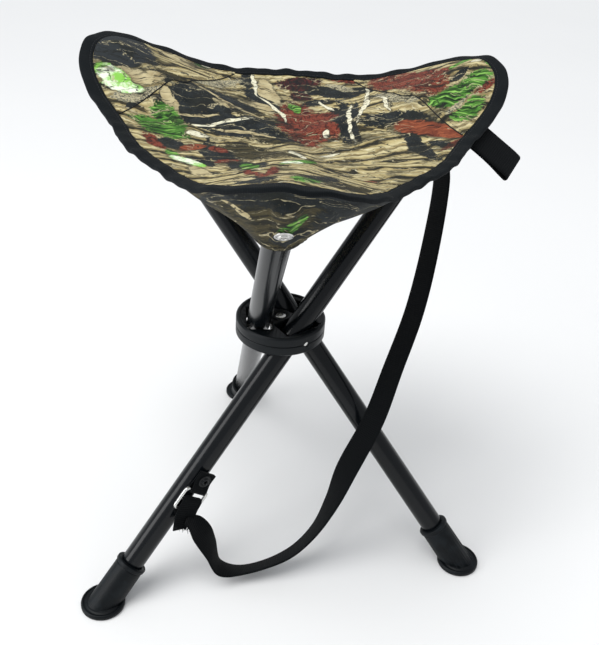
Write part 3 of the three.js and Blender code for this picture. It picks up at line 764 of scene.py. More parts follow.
# ------------------------------------------------------------------ the print's layout
# Shapes of each colour as (x, y, half length, half width, turn in degrees), in millimetres on the cloth.
SEAT_PRINT = {
    "slate": [
        (-96, 36, 34, 13, -90), (-71, 34, 27, 8, -57), (-33, 13, 25, 6, 5), (-62, -5, 26, 9, -7),
        (-43, 112, 23, 6, -85), (-81, -55, 38, 2, -88), (-64, -128, 20, 7, -47), (41, 77, 18, 6, -12),
        (65, 87, 12, 6, -56), (36, 17, 47, 6, -94), (46, 13, 43, 3, -97), (79, 6, 30, 8, -4),
        (90, -45, 36, 7, -76), (109, -42, 12, 5, -21), (4, -135, 27, 5, 46), (-38, -171, 21, 5, 63),
        (-87, -81, 12, 7, -20), (-108, -47, 14, 8, -44), (30, 33, 18, 4, -86), (14, 62, 20, 5, 20),
        (-78, 38, 44, 24, 8), (-60, 2, 48, 16, -10), (-104, 84, 10, 5, -60), (-70, -60, 26, 12, -70),
        (-30, 66, 26, 9, -60), (30, 88, 30, 8, -10), (-20, -14, 22, 6, -30), (-52, -104, 30, 9, -62),
    ],
    "lichen": [(-69, 87, 30, 8, 44), (46, 94, 14, 6, -25), (87, 42, 25, 11, -53)],
    "cream": [
        (-36, 102, 33, 1.2, -81), (-20, 47, 26, 1.2, -65), (-90, -20, 9, 4, -19), (-12, -72, 13, 3, -83),
        (60, 50, 46, 1.6, -105), (74, 38, 23, 1.2, -78), (-82, 0, 12, 1.4, 21), (17, -55, 9, 2, 29),
        (42, 12, 41, 1.2, -96), (25, 52, 14, 1.2, -70), (17, -9, 6, 2, 65), (-56, 10, 20, 1.4, 15),
    ],
    "olive": [(-43, -60, 38, 15, -47), (-43, 29, 15, 8, 25), (86, 53, 24, 6, -23), (-30, -20, 24, 10, -20)],
    "tan": [
        (-23, 85, 24, 8, -76), (-81, -122, 31, 6, -67), (-60, -166, 15, 4, -53), (-111, 29, 22, 4, -65),
        (-37, 52, 18, 5, -22), (-66, 36, 11, 4, -30), (89, 80, 22, 5, -58), (-78, 52, 26, 1, -40),
        (-52, 30, 24, 1, -28), (-88, 12, 20, 1, 12), (-50, -8, 26, 2, -14),
    ],
    "maroon": [(6, 105, 23, 13, -5), (7, 78, 12, 8, -32), (12, -145, 14, 3, 51)],
    "rust": [
        (49, 111, 17, 4, -17), (6, 30, 28, 12, -9), (0, 17, 50, 17, -85), (21, 7, 24, 8, -81),
        (-121, -44, 20, 4, -58), (-65, -76, 12, 4, 16), (-50, -147, 26, 3, -84), (-39, -151, 23, 3, 69),
        (-70, -47, 8, 5, -38), (118, -44, 18, 3, 48), (32, -128, 15, 4, 30),
    ],
    "green": [
        (-4, 54, 12, 4, -85), (-118, -15, 28, 12, -44), (-111, 5, 22, 10, -65), (-13, -100, 22, 4, 49),
        (-16, -183, 19, 6, 65), (-106, -69, 8, 4, -56), (-51, -105, 17, 4, -70),
    ],
    "orange": [(-90, -51, 14, 6, 47), (106, -15, 31, 12, -19)],
    "lime": [(-96, -85, 15, 6, -34), (-20, -106, 10, 4, 30)],
}
CORNER_PRINT = {
    "left_leg": {
        "charcoal": [(-158, 92, 34, 25, 8), (-164, 118, 28, 18, -40)],
        "slate": [(-136, 105, 31, 6, -66), (-135, 24, 15, 5, 52), (-119, 57, 17, 3, -53)],
        "tan": [(-140, 58, 23, 9, 3), (-111, 118, 21, 7, -34)],
        "lime": [(-160, 50, 19, 10, -43), (-153, 41, 18, 7, -7)],
        "lichen": [(-136, 34, 24, 8, 24)],
        "green": [(-87, 120, 7, 4, 2)],
        "cream": [(-80, 128, 10, 4, 49)],
        "olive": [(-110, 62, 16, 8, -33)],
    },
    "right_leg": {
        "rust": [(102, 73, 46, 22, -61), (127, 78, 17, 8, -38), (163, 31, 13, 3, 39), (160, 43, 23, 3, 34)],
        "tan": [(149, 97, 23, 6, 7), (85, 80, 19, 6, -74)],
        "green": [(140, 32, 36, 10, 29), (143, 5, 20, 8, 36), (156, 79, 22, 4, 34), (174, 60, 9, 4, -51)],
        "lichen": [(135, 15, 16, 3, 41)],
        "cream": [(164, 70, 7, 2, 31)],
        "slate": [(141, 52, 15, 3, 23)],
    },
    "front_leg": {
        "slate": [(-52, -176, 26, 9, -60), (-8, -158, 20, 8, 40)],
        "green": [(-16, -183, 19, 6, 65)],
        "tan": [(-60, -166, 15, 4, -53)],
        "olive": [(10, -170, 22, 10, 40)],
        "rust": [(-50, -147, 26, 3, -84), (-39, -151, 23, 3, 69)],
    },
}
# On a pocket x runs round it from its middle, and y falls from 0 at its mouth.
# The pocket's print is dark all over, a dark olive ground with broad slate. Part of that is the cloth's own
# print and part is painted shade for the shadow the pocket hangs in under the seat.
POCKET_PRINT_AND_SHADE = {
    "olive": [(0, -30, 95, 60, 0)],
    "green": [(4, -37, 9, 5, 70)],
    "slate": [(22, -7, 70, 15, 3), (46, -30, 36, 24, -30), (-40, -14, 14, 5, 30), (6, -46, 12, 5, 10)],
    "tan": [(-26, -26, 12, 2, -50)],
}


def wandering(places):
    """The same points pushed about smoothly by a few millimetres, so that no outline is a plain ellipse."""
    x, y = places[:, 0], places[:, 1]
    return np.stack([
        x + 2.2 * np.sin(y / 11.1 + 0.4) + 1.1 * np.sin((x - y) / 6.3) + 0.5 * np.sin((x + 2 * y) / 3.7),
        y + 2.2 * np.sin(x / 10.3 + 1.9) + 1.1 * np.sin((x + y) / 7.1) + 0.5 * np.sin((2 * x - y) / 4.1),
    ], 1)


def put_print(mesh, places, shapes):
    """Writes every print colour's field on a mesh from points in millimetres, one per vertex."""
    moved = wandering(places)
    for colour in PRINT_COLOURS:
        depth = np.full(len(places), -1.5)
        for x, y, length, width, turn in shapes.get(colour, []):
            c, s = math.cos(math.radians(turn)), math.sin(math.radians(turn))
            along = ((moved[:, 0] - x) * c + (moved[:, 1] - y) * s) / length
            across = (-(moved[:, 0] - x) * s + (moved[:, 1] - y) * c) / (width + 0.6)
            depth = np.maximum(depth, 1 - np.hypot(along, across))
        mesh.attributes.new(colour, "FLOAT", "POINT").data.foreach_set("value", depth.astype(np.float32))


def cloth_uvs(mesh):
    """The mesh's UV of each vertex, in millimetres."""
    layer = mesh.uv_layers["cloth"]
    uv = np.empty(len(mesh.loops) * 2, np.float32)
    layer.data.foreach_get("uv", uv)
    vertex = np.empty(len(mesh.loops), int)
    mesh.loops.foreach_get("vertex_index", vertex)
    found = np.zeros((len(mesh.vertices), 2))
    found[vertex] = uv.reshape(-1, 2)
    return found / MM


def printed_cloth(name, upper, lower, flat, normals, shapes):
    """A closed thin piece of cloth with its print laid on it."""
    mesh = skin_mesh(name, upper, lower, flat, normals)
    put_print(mesh, cloth_uvs(mesh), shapes)
    return as_object(name, mesh, "camo_cloth")


# ------------------------------------------------------------------ seat, binding and corner panels
def rim_inset(bearing, inward):
    """Reach of a line that runs a given distance inside the rim, measured square to it."""
    slope = (rim_reach(bearing + 1e-4) - rim_reach(bearing - 1e-4)) / 2e-4
    return rim_reach(bearing) - inward * np.sqrt(1 + (slope / rim_reach(bearing)) ** 2)


def seat_sector(leg):
    bearing = sector_bearings(leg, 181)[None, :]
    reach = np.linspace(0, 1, 110)[:, None] ** 0.92 * rim_inset(bearing, 1.6 * MM)
    middle = seat_place(bearing, reach)
    normals = seat_normal(np.broadcast_to(bearing, reach.shape), reach)
    rise = np.array([0, 0, CLOTH / 2])
    name = f"{leg.body}_seat_cloth"
    obj = printed_cloth(name, middle + rise, middle - rise, middle[..., :2], normals, SEAT_PRINT)
    return corner_blend(obj)


def binding_section():
    """(inward, lift) round a tape folded over the edge and pressed on to the cloth by its stitching."""
    crown, edge, inside = BINDING_HALF_GAP + BINDING_WALL, 1.15 * MM, 0.62 * MM
    upper = [
        (-1.3 * MM, 0), (-1.0 * MM, 0.75 * crown), (0.6 * MM, crown), (4.2 * MM, 0.99 * crown),
        (7.4 * MM, 0.86 * crown), (8.4 * MM, 0.70 * crown), (9.3 * MM, 0.80 * crown),
        (BINDING_WIDTH - 0.4 * MM, edge + 0.25 * MM), (BINDING_WIDTH, edge - 0.1 * MM),
        (BINDING_WIDTH - 0.3 * MM, inside), (2 * MM, inside), (0.4 * MM, 0),
    ]
    upper = rounded(upper, 0.9 * MM, 3)
    return upper + [(inward, -lift) for inward, lift in upper[-2:0:-1]]


def binding_sector(leg):
    bearing = sector_bearings(leg, 181)
    section = np.array(binding_section())
    reach = np.stack([rim_inset(bearing, inward) for inward, _ in section], 1)
    rings = seat_place(bearing[:, None], reach, section[None, :, 1])
    rim = seat_place(bearing, rim_reach(bearing))
    uv = np.stack(np.broadcast_arrays(run_along(section)[None, :], run_along(rim)[:, None]), -1)
    mesh = sweep_mesh(f"{leg.body}_edge_binding", rings, uv)
    return corner_blend(as_object(mesh.name, mesh, "binding_tape"))


def binding_stitches(leg):
    bearing = sector_bearings(leg, 300)
    reach = rim_inset(bearing, 8.4 * MM)
    line = seat_place(bearing, reach, 0.66 * (BINDING_HALF_GAP + BINDING_WALL))
    obj = stitches(f"{leg.body}_binding_stitches", line, seat_normal(bearing, reach), 3.4 * MM, 0.75 * MM)
    return corner_blend(obj)


# On which side of its ridge a corner's seam lies further out: the side that faces the front.
FAR_SEAM_SIDE = {"right_leg": -1, "left_leg": 1, "front_leg": -1}


def seam_reach(leg, turn, inward=0.0):
    """The corner panel's seam: nearly straight across, stepped where the dart at the ridge takes it up."""
    share = 1 / (1 + np.exp(-turn * FAR_SEAM_SIDE[leg.body] / math.radians(0.7)))
    chord = CORNER_SEAM_BACK + (CORNER_SEAM_FRONT - CORNER_SEAM_BACK) * share + inward
    return chord / np.cos(turn)


def corner_span(leg, side):
    """Turn from the ridge at which the seam runs under the binding."""
    turn = 0.05
    while seam_reach(leg, side * turn) < rim_inset(side * turn, BINDING_WIDTH) - 0.6 * MM:
        turn += 0.002
    return side * turn


def corner_panel(leg):
    turn = np.linspace(corner_span(leg, -1), corner_span(leg, 1), 141)[None, :]
    bearing = leg.corner * math.tau / 3 + turn
    inner = seam_reach(leg, turn)
    outer = np.maximum(rim_inset(bearing, BINDING_WIDTH + 0.25 * MM), inner + 0.1 * MM)
    reach = inner + (outer - inner) * np.linspace(0, 1, 64)[:, None] ** 1.3
    from_seam = reach - inner
    hem = 0.45 * MM * (1 - np.clip((from_seam - 6 * MM) / (2 * MM), 0, 1))
    roll = 0.5 * MM * np.exp(-from_seam / (0.35 * MM))
    base = seat_place(np.broadcast_to(bearing, reach.shape), reach, CLOTH / 2 + 0.08 * MM)
    normals = seat_normal(np.broadcast_to(bearing, reach.shape), reach)
    upper = base + normals * (0.75 * MM + hem - roll)[..., None]
    name = f"{leg.body}_corner_cloth"
    obj = printed_cloth(name, upper, base, base[..., :2], normals, CORNER_PRINT[leg.body])
    return corner_blend(obj)


def corner_seam(leg):
    """A black cord along the corner panel's seam, painted shade in place of the seam's shadow line, and the
    real stitches beside it.
    """
    turn = np.linspace(corner_span(leg, -1) * 0.985, corner_span(leg, 1) * 0.985, 260)
    bearing = leg.corner * math.tau / 3 + turn
    reach = seam_reach(leg, turn) - 0.35 * MM
    line = seat_place(bearing, reach, CLOTH / 2 + 0.25 * MM)
    along = unit(np.gradient(line, axis=0))
    up = seat_normal(bearing, reach)
    side = unit(np.cross(along, up))
    # The cord is painted shade: a black tube laid where the seam's shadow line falls.
    rings = line[:, None] + 0.55 * MM * circle(8, side, up)
    cord = sweep_mesh(f"{leg.body}_corner_seam", rings, np.zeros((*rings.shape[:2], 2)))
    reach = seam_reach(leg, turn, 2.2 * MM)
    line = seat_place(bearing, reach, CLOTH / 2 + 1.2 * MM)
    row = stitches(f"{leg.body}_corner_stitches", line, seat_normal(bearing, reach), 3.2 * MM, 0.55 * MM)
    seam = as_object(cord.name, cord, "black_thread_and_seam_shade")
    return [corner_blend(seam), corner_blend(row)]


# ------------------------------------------------------------------ pockets
def pocket_surface(leg, u, v, out=0.0):
    """The pocket's cloth, from the rim at v = 0 down round the tube at v = 1."""
    side = 2 * u - 1
    bearing = leg.corner * math.tau / 3 + side * POCKET_HALF_SPAN[leg.body]
    rim = seat_place(bearing, rim_inset(bearing, 4.5 * MM), -2.1 * MM)
    snug = TUBE_RADIUS + 2.2 * MM + POCKET_FLARE * side ** 2
    wrap = side * 1.75
    along = TUBE_ABOVE_PIN + 6 * MM - v * (POCKET_DEPTH + 6 * MM)
    pin, up, under, across = (np.array(w) for w in (leg.pin, leg.up, leg.under, leg.outward))
    on_tube = pin + up * along[..., None] + under * (snug * np.cos(wrap))[..., None] \
        - across * (snug * np.sin(wrap))[..., None]
    point = rim + (on_tube - rim) * (v ** 1.2)[..., None]
    point[..., 2] -= POCKET_BELLY * np.sin(math.pi * v) * side ** 2
    beside = point - pin
    beside = beside - up * (beside @ up)[..., None]
    distance = np.linalg.norm(beside, axis=-1)
    past_end = (point - pin) @ up - TUBE_ABOVE_PIN
    gap = np.maximum(TUBE_RADIUS + 1.5 * MM - distance, 0) * np.clip(1.4 - past_end / (10 * MM), 0, 1)
    return point + unit(beside) * (gap + out)[..., None]


def pocket_cloth(leg):
    v, u = np.meshgrid(np.linspace(0, 1, 90), np.linspace(0, 1, 101), indexing="ij")
    side = 2 * u - 1
    free = np.sin(math.pi * np.clip(v * 1.05, 0, 1)) ** 1.2
    folds = 0.9 * MM * free * (
        0.6 * np.sin(11 * side * (1.25 - 0.5 * v) + 2.2 * v) + 0.4 * np.sin(23 * side + 5 * v + leg.corner)
    )
    middle = pocket_surface(leg, u, v, folds + 0.5 * MM * free)
    normals = unit(np.cross(np.gradient(middle, axis=0), np.gradient(middle, axis=1)))
    below = np.array(leg.under)
    if normals[70, 50] @ below < 0:
        normals = -normals
    edge = np.minimum.reduce([(1 - np.abs(side)) * 60, (1 - v) * 115])
    hem = 0.35 * MM * (1 - np.clip((edge - 6) / 1.5, 0, 1))
    thick = (CLOTH / 2 + hem)[..., None]
    flat = np.stack([side * 70 * MM * (1 - 0.55 * v), -v * POCKET_DEPTH], -1)
    # The pocket's print carries painted shade: it is darker all over for the shadow under the seat.
    obj = printed_cloth(f"{leg.body}_pocket_cloth", middle + normals * thick,
                        middle - normals * CLOTH / 2, flat, normals, POCKET_PRINT_AND_SHADE)
    line = pocket_surface(leg, np.linspace(0.0, 1, 160), np.full(160, 0.962), np.full(160, 0.9 * MM))
    from_pin = line - np.array(leg.pin)
    across = unit(from_pin - np.outer(from_pin @ np.array(leg.up), leg.up))
    row = stitches(f"{leg.body}_pocket_stitches", line, across, 3.4 * MM, 0.6 * MM)
    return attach(obj, leg.body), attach(row, leg.body)


# ------------------------------------------------------------------ tubes, feet, rivets
def rivet_turn(outward):
    """Turns +Z to the leg's underside direction, or to its outward side."""
    return quarter_turn("Y") if outward else quarter_turn("X", -1)


def rivet_hole(leg, along, outward=False):
    return tool(rod_mesh(1.9 * MM, TUBE_RADIUS - 3 * MM, TUBE_RADIUS + 9 * MM, 24),
                leg.matrix(along) @ rivet_turn(outward))


def leg_tube(leg):
    outer, inner = TUBE_RADIUS, TUBE_RADIUS - TUBE_WALL
    low, high = -TUBE_BELOW_PIN, TUBE_ABOVE_PIN
    section = rounded([
        (outer, 0), (outer, high), (inner, high), (inner, low), (outer, low), (outer, 0),
    ], 0.5 * MM, 3)[:-1]
    mesh = turned_mesh(f"{leg.body}_round_tube", section, 96)
    mesh.transform(leg.matrix())
    obj = as_object(mesh.name, mesh, "powder_coat")
    bore = tool(rod_mesh(PIN_RADIUS + 0.1 * MM, -20 * MM, 20 * MM, 32),
                leg.matrix() @ quarter_turn("Y"))
    holes = [bore, rivet_hole(leg, TUBE_ABOVE_PIN - POCKET_RIVET_DROP)]
    if leg.body == "right_leg":
        holes.append(rivet_hole(leg, TUBE_ABOVE_PIN - STRAP_RIVET_DROP))
        holes.append(rivet_hole(leg, BUCKLE_ALONG_LEG + TAB_RIVET_RISE, True))
    combine(obj, "DIFFERENCE", *holes)
    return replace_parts(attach(obj, leg.body), f"{leg.body}_tube")


def leg_foot(leg):
    r, drop = FOOT_SLEEVE_RADIUS, HUB_CENTRE.z / math.cos(LEG_TILT)
    top = -drop + FOOT_SLEEVE_LENGTH
    sleeve = turned_mesh(f"{leg.body}_rubber_foot", rounded([
        (0, -drop - 20 * MM), (r + 0.6 * MM, -drop - 20 * MM), (r, top - 5.6 * MM),
        (r - 0.5 * MM, top - 5 * MM), (r - 0.5 * MM, top - 4.3 * MM), (r + 1.0 * MM, top - 3.7 * MM),
        (r + 1.0 * MM, top - 0.7 * MM), (r + 0.1 * MM, top), (0, top),
    ], 0.35 * MM, 2))
    sleeve.transform(leg.matrix())
    obj = as_object(sleeve.name, sleeve, "black_rubber")
    at = leg.pin - leg.up * drop
    rim = FOOT_FLANGE_RADIUS
    flange = turned_mesh("flange", rounded([
        (0, 0), (rim - 0.6 * MM, 0), (rim, 0.7 * MM), (rim, 3.4 * MM), (rim - 1.2 * MM, 5.0 * MM),
        (rim - 2.2 * MM, 5.0 * MM), (rim - 2.9 * MM, 4.2 * MM), (rim - 4.0 * MM, 4.2 * MM),
        (rim - 5.2 * MM, 5.2 * MM), (0, 5.6 * MM),
    ], 0.35 * MM, 2))
    flange = tool(flange, Matrix.Translation(Vector((at.x, at.y, 0))))
    combine(obj, "UNION", flange)
    below = tool(block_mesh((-1, -1, -1), (1, 1, 0)))
    bore = rod_mesh(TUBE_RADIUS + 0.15 * MM, -TUBE_BELOW_PIN - 0.3 * MM, top + 5 * MM, 64)
    bore = tool(bore, leg.matrix())
    combine(obj, "DIFFERENCE", below, bore)
    round_edges(obj, 0.45 * MM)
    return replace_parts(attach(obj, leg.body), f"{leg.body}_foot")


def rivet(name, leg, node, seat, along, outward=False, material="plated_steel"):
    """A tubular rivet rolled over a cup washer."""
    inside = TUBE_RADIUS - TUBE_WALL - 1.5 * MM
    section = rounded([
        (0, inside), (2.8 * MM, inside), (2.8 * MM, inside + 0.6 * MM), (1.7 * MM, inside + 0.8 * MM),
        (1.7 * MM, seat), (6.2 * MM, seat), (6.6 * MM, seat + 0.35 * MM), (6.3 * MM, seat + 0.85 * MM),
        (5.3 * MM, seat + 1.15 * MM), (4.5 * MM, seat + 0.8 * MM), (4.0 * MM, seat + 1.0 * MM),
        (3.6 * MM, seat + 1.9 * MM), (2.7 * MM, seat + 2.3 * MM), (1.7 * MM, seat + 1.9 * MM),
        (1.3 * MM, seat - 0.4 * MM), (0, seat - 0.6 * MM),
    ], 0.4 * MM, 3)
    mesh = turned_mesh(name, section, 48)
    mesh.transform(leg.matrix(along) @ rivet_turn(outward))
    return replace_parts(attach(as_object(name, mesh, material), leg.body), node)


# ------------------------------------------------------------------ hub
def hub_shell(name, node, side):
    r, h = HUB_RADIUS, HUB_HALF_THICKNESS
    screw = 3.3 * MM
    section = rounded([
        (screw, 0.15 * MM), (r - 0.5 * MM, 0.15 * MM), (r, 0.65 * MM), (r, h - 1.6 * MM), (r - 1.5 * MM, h),
        (r - 3.8 * MM, h), (r - 4.3 * MM, h - 1.3 * MM), (9.7 * MM, h - 1.3 * MM), (9.2 * MM, h),
        (screw, h), (screw, 0.15 * MM),
    ], 0.45 * MM, 3)[:-1]
    mesh = turned_mesh(name, [(x, side * z) for x, z in section], 128)
    mesh.transform(Matrix.Translation(HUB_CENTRE))
    obj = as_object(name, mesh, "hub_plastic")
    cuts = []
    for leg in LEGS:
        angle = math.atan2(leg.outward.y, leg.outward.x)
        turn = Matrix.Translation(HUB_CENTRE) @ Matrix.Rotation(angle, 4, "Z")
        from_axis = (leg.pin - HUB_CENTRE).length
        half = TUBE_RADIUS + 0.6 * MM
        low, high = sorted((side * -15 * MM, side * 23.3 * MM))
        slot = block_mesh((from_axis - half, low, -0.03), (from_axis + half, high, 0.03), 1 * MM)
        cuts.append(tool(slot, turn))
        bore = rod_mesh(PIN_RADIUS + 0.06 * MM, 4.9 * MM, HUB_RADIUS + 5 * MM, 32)
        cuts.append(tool(bore, turn @ quarter_turn("Y")))
    if side > 0:
        recess = rod_mesh(6.2 * MM, h - 4.4 * MM, h + 1 * MM)
    else:
        recess = rod_mesh(6.2 * MM, -h - 1 * MM, -h + 4 * MM, 6)
    cuts.append(tool(recess, Matrix.Translation(HUB_CENTRE)))
    combine(obj, "DIFFERENCE", *cuts)
    round_edges(obj, 0.4 * MM, 50)
    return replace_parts(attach(obj, "hub"), node)


# ------------------------------------------------------------------ webbing
def ribbon(name, line, widths, width, thickness, material="black_webbing", curl=0.0):
    """Flat webbing along a line of points; widths gives the direction across it at each point."""
    along = unit(np.gradient(line, axis=0))
    across = unit(widths - along * np.sum(widths * along, 1, keepdims=True))
    normal = np.cross(along, across)
    half, edge = width / 2, thickness / 2
    upper = [(-half + edge * 0.4, edge * 0.72), (-half + edge * 1.3, edge)]
    upper += [(x, edge) for x in np.linspace(-0.8, 0.8, 9) * half]
    upper += [(half - edge * 1.3, edge), (half - edge * 0.4, edge * 0.72)]
    section = np.array([(-half, 0), *upper, (half, 0), *[(x, -z) for x, z in upper[::-1]]])
    bow = curl * (1 - (section[:, 0] / half) ** 2)
    rings = line[:, None] + across[:, None] * section[None, :, :1] \
        + normal[:, None] * (section[:, 1] + bow)[None, :, None]
    uv = np.stack(np.broadcast_arrays(section[None, :, 0], run_along(line)[:, None]), -1)
    return as_object(name, sweep_mesh(name, rings, uv), material)


STRAP_ROUTE = [  # each point of the strap's middle line, then the direction of its width there
    (157.4, 66.8, 415.4, 0.5, -0.87, 0), (148.5, 61.6, 403.5, 0.5, -0.87, 0),
    (146.5, 56, 388, 0.42, -0.9, 0.1), (149, 50, 367, 0.36, -0.9, 0.25),
    (144, 34, 312, 0.43, -0.86, 0.27), (129, 4, 252, 0.51, -0.81, 0.28),
    (107.5, -26, 203, 0.56, -0.79, 0.25), (89, -52, 164, 0.59, -0.8, 0.13),
    (64, -72, 119, 0.58, -0.82, 0), (50, -80, 81, 0.2, -0.97, 0.1),
    (34.5, -85, 49, -0.08, -0.97, 0.21), (14, -89, 26, -0.11, -0.93, 0.35),
    (-12, -93, 14, -0.04, -0.88, 0.48), (-38, -96, 10.5, 0, -0.88, 0.44),
    (-57, -99, 20, -0.1, -0.97, 0.2), (-66, -101, 49, -0.35, -0.92, -0.1),
    (-73, -102, 68, -0.6, -0.78, 0), (-80.5, -100.5, 80, -0.63, -0.6, 0.45),
    (-88.4, -97.5, 86.5, -0.64, -0.38, 0.65),
]
# The strap's end in the buckle: up behind the lower bar, round the middle bar and down in front as a
# loose tail, as (outward, under, up) from the buckle's centre in millimetres.
STRAP_END_ROUTE = [
    (0.9, 7.0, -17.5), (-1.6, 4.6, -13.5), (-2.7, 2, -8), (-2.7, 0.5, -1), (-1.9, 0, 1.9), (0, 0, 2.7),
    (1.9, 0, 1.9), (2.8, 0.3, -1), (3.0, 1.2, -8), (3.6, 2.6, -14.5), (5.0, 4.6, -21), (6.6, 7.0, -27),
]


def carry_strap():
    route = np.array(STRAP_ROUTE, float)
    route[:, :3] = route[:, :3] * MM + np.array([HUB_CENTRE.x, HUB_CENTRE.y, 0])
    line = evenly(spline(route), 420)
    obj = ribbon("carry_strap_webbing", line[:, :3], line[:, 3:], WEBBING_WIDTH, WEBBING_THICKNESS,
                 curl=0.5 * MM)
    hole = rivet_hole(LEG["right_leg"], TUBE_ABOVE_PIN - STRAP_RIVET_DROP)
    combine(obj, "DIFFERENCE", hole)
    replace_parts(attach(obj, "right_leg"), "carry_strap")
    return obj, line[:, :3]


def strap_end():
    leg = LEG["right_leg"]
    place = leg.matrix(BUCKLE_ALONG_LEG, BUCKLE_FROM_AXIS)
    line = evenly(spline([[x * MM for x in row] for row in STRAP_END_ROUTE]), 120)
    world = np.array([place @ Vector(p) for p in line])
    across = np.repeat(np.array([leg.under]), len(world), 0)
    obj = ribbon("carry_strap_end", world, across, WEBBING_WIDTH - 0.6 * MM, WEBBING_THICKNESS - 0.2 * MM)
    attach(obj, "right_leg")
    # loose yarns at the cut end
    end, way, side = world[-1], unit(world[-1] - world[-6]), across[-1]
    points, faces = [], []
    for i in range(17):
        start = end + side * (i / 16 - 0.5) * 23 * MM - way * 1 * MM
        lean = side * 1.4 * MM * math.sin(2.3 * i) + np.array(leg.outward) * 1.2 * MM * math.cos(3.1 * i)
        tip = start + way * (3.2 + 1.6 * math.sin(1.7 * i)) * MM + lean
        for share, size in ((0, 0.55), (0.5, 0.45), (1, 0.12)):
            centre = start + (tip - start) * share + lean * 0.25 * math.sin(math.pi * share)
            for k in range(6):
                turn = k / 6 * math.tau
                points.append(centre + size * MM * (
                    math.cos(turn) * side + math.sin(turn) * np.array(leg.outward)))
        index = len(points) - 18 + np.arange(18).reshape(3, 6)
        faces += tube_faces(index)
    mesh = new_mesh("carry_strap_fray", points, faces, np.zeros((len(points), 2)))
    tidy_mesh(mesh)
    fray = as_object(mesh.name, mesh, "black_thread_and_seam_shade")
    return obj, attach(fray, "right_leg")


def buckle():
    leg = LEG["right_leg"]
    place = leg.matrix(BUCKLE_ALONG_LEG, BUCKLE_FROM_AXIS)
    w, h = BUCKLE_WIDTH / 2 - BUCKLE_WIRE_RADIUS, BUCKLE_HEIGHT / 2 - BUCKLE_WIRE_RADIUS
    outline = rounded([(0, h), (-w, h), (-w, -h), (w, -h), (w, h), (0, h)], 4 * MM, 8)
    line = evenly(np.array([(0, y, z) for y, z in outline]), 145)
    line = line[:-1]
    along = unit(np.roll(line, -1, 0) - np.roll(line, 1, 0))
    aside = np.cross(along, np.array([1.0, 0, 0]))
    rings = line[:, None] + BUCKLE_WIRE_RADIUS * circle(20, np.array([[1.0, 0, 0]]), aside)
    mesh = loop_mesh("buckle_frame", rings)
    mesh.transform(place)
    frame_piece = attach(as_object("buckle_frame", mesh, "plated_steel"), leg.body)
    bar = rod_mesh(BUCKLE_WIRE_RADIUS * 0.95, -w, w, 24)
    bar.transform(place @ quarter_turn("X"))
    bar_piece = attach(as_object("buckle_bar", bar, "plated_steel"), leg.body)
    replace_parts(frame_piece, "strap_buckle")
    return frame_piece, bar_piece


def buckle_tab():
    """Webbing folded round the buckle's upper bar, both ends under one rivet."""
    leg = LEG["right_leg"]
    seat = BUCKLE_FROM_AXIS
    bar = BUCKLE_ALONG_LEG + BUCKLE_HEIGHT / 2 - BUCKLE_WIRE_RADIUS
    gap = BUCKLE_WIRE_RADIUS + 1.0 * MM
    bend = np.radians([0, 40, 90, 140, 180])
    route = [(seat + 0.1 * MM, bar + 19 * MM), (seat + 0.1 * MM, bar + 9 * MM)]
    route += [(seat + gap * 0.7, bar + 3.4 * MM)]
    route += [(seat + gap * math.cos(a), bar - gap * math.sin(a)) for a in bend]
    route += [(seat - gap, bar + 4 * MM), (seat - 1.9 * MM, bar + 9 * MM), (seat - 1.9 * MM, bar + 19 * MM)]
    local = evenly(spline([(x, 0, z) for x, z in route]), 150)
    line = np.array([leg.matrix() @ Vector(p) for p in local])
    across = np.repeat(np.array([leg.under]), len(line), 0)
    obj = ribbon("buckle_webbing_tab", line, across, 20 * MM, 1.5 * MM)
    combine(obj, "DIFFERENCE", rivet_hole(leg, BUCKLE_ALONG_LEG + TAB_RIVET_RISE, True))
    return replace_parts(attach(obj, leg.body), "buckle_tab")


def closure_tab():
    """Doubled wide webbing under the right edge, sewn under the rim and folded at its outer end."""
    bearing = CLOSURE_TAB_BEARING
    root = seat_place(bearing, rim_reach(bearing) - 9 * MM, -5.2 * MM)
    away = unit(np.array([0.78, -0.4, -0.48]))
    sideways = np.array([0.62, 0.77, 0.17])
    sideways = unit(sideways - away * (sideways @ away))
    lift = unit(np.cross(away, sideways))
    share = np.linspace(0, 1, 40)
    gap = 1.0 * MM + 0.9 * MM * np.clip((share - 0.35) / 0.5, 0, 1) ** 2
    out = root + away * (share * CLOSURE_TAB_RUN)[:, None] + np.array([0, 0, -3 * MM]) * (share ** 2)[:, None]
    upper = out + lift * gap[:, None]
    lower = out - lift * gap[:, None]
    turn = np.linspace(80, -80, 9)
    nose_centre, nose = out[-1], gap[-1]
    ahead = unit(out[-1] - out[-2])
    bend = nose_centre + nose * (
        np.sin(np.radians(turn))[:, None] * lift + np.cos(np.radians(turn))[:, None] * ahead)
    line = evenly(np.concatenate([upper, bend, lower[::-1]]), 160)
    widths = np.repeat(sideways[None, :], len(line), 0)
    obj = ribbon("closure_webbing_tab", line, widths, CLOSURE_TAB_WIDTH, 1.7 * MM)
    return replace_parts(obj, "closure_tab")


# ------------------------------------------------------------------ light and floor
def softbox(name, at, towards, size, watts, tint=(1, 1, 1)):
    data = bpy.data.lights.new(name, "AREA")
    data.shape = "RECTANGLE"
    data.size, data.size_y = size
    data.energy = watts
    data.color = tint
    lamp = bpy.data.objects.new(name, data)
    lamp.location = at
    lamp.rotation_euler = (Vector(towards) - Vector(at)).to_track_quat("-Z", "Y").to_euler()
    bpy.context.collection.objects.link(lamp)


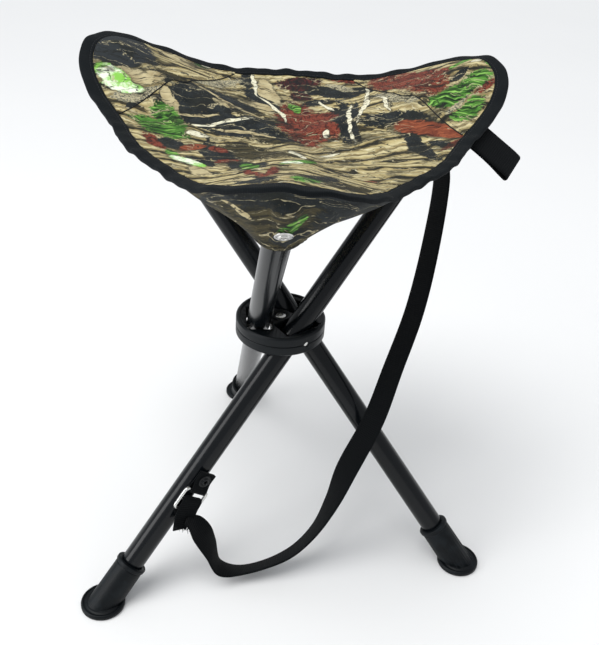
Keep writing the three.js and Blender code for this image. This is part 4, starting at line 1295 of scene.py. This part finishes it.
def studio():
    world = bpy.data.worlds.new("studio")
    world.use_nodes = True
    world.node_tree.nodes["Background"].inputs["Color"].default_value = (0.93, 0.96, 1.0, 1)
    world.node_tree.nodes["Background"].inputs["Strength"].default_value = 0.62
    bpy.context.scene.world = world
    bpy.context.scene.view_settings.view_transform = "Standard"
    softbox("side_box", (-1.5, -0.55, 0.75), (0, 0, 0.3), (0.8, 1.4), 15)
    softbox("top_box", (0.1, 0.1, 1.9), (0, 0, 0.3), (1.5, 1.5), 6)
    sun = bpy.data.lights.new("overhead", "SUN")
    sun.energy = 1.5
    sun.angle = math.radians(35)
    lamp = bpy.data.objects.new("overhead", sun)
    lamp.rotation_euler = Vector((0.35, 0.25, -1)).to_track_quat("-Z", "Y").to_euler()
    bpy.context.collection.objects.link(lamp)

    s = Shader("pale_floor")
    cloud = s.noise(s.rest(), 3.0, 3)
    s.set(Base_Color=s.mix(cloud, (0.80, 0.80, 0.795), (0.82, 0.82, 0.815)), Roughness=0.85)
    s.set(Specular_IOR_Level=0.1)
    floor = turned_mesh("floor", [(0, -0.02), (7.9, -0.02), (8, -0.0003), (0, -0.0003)], 64)
    obj = bpy.data.objects.new("floor", floor)
    floor.materials.append(s.material)
    bpy.context.collection.objects.link(obj)


# ------------------------------------------------------------------ assembly
add_camera()

strap, strap_line = carry_strap()
strap_tail = strap_end()
buckle()
buckle_tab()
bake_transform(closure_tab())

for leg in LEGS:
    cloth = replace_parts(seat_sector(leg), "seat_panel")
    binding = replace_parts(binding_sector(leg), "seat_binding")
    sewing = binding_stitches(leg)
    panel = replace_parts(corner_panel(leg), f"{leg.body}_corner_panel")
    seam = corner_seam(leg)
    pocket, pocket_sewing = pocket_cloth(leg)
    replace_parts(pocket, f"{leg.body}_pocket")
    leg_tube(leg)
    leg_foot(leg)
    rivet(f"{leg.body}_tubular_rivet", leg, f"{leg.body}_pocket_rivet", TUBE_RADIUS + 3.3 * MM,
          TUBE_ABOVE_PIN - POCKET_RIVET_DROP)

right = LEG["right_leg"]
rivet("strap_tubular_rivet", right, "strap_rivet", TUBE_RADIUS + 5.7 * MM,
      TUBE_ABOVE_PIN - STRAP_RIVET_DROP)
rivet("tab_tubular_rivet", right, "buckle_tab_rivet", TUBE_RADIUS + 4.9 * MM,
      BUCKLE_ALONG_LEG + TAB_RIVET_RISE, True, "powder_coat")
hub_shell("hub_upper_body", "hub_upper_shell", 1)
hub_shell("hub_lower_body", "hub_lower_shell", -1)

# The CAD nodes that stay in view, by the end of their names.
SHOWN_CAD = {
    "_end_cap": "hub_plastic", "_pivot_pin": "plated_steel", "_screw": "plated_steel", "_nut": "plated_steel",
}
for node, obj in frame["nodes"].items():
    for ending, material in SHOWN_CAD.items():
        if node.endswith(ending):
            obj.data.materials.clear()
            obj.data.materials.append(MATERIALS[material])

studio()
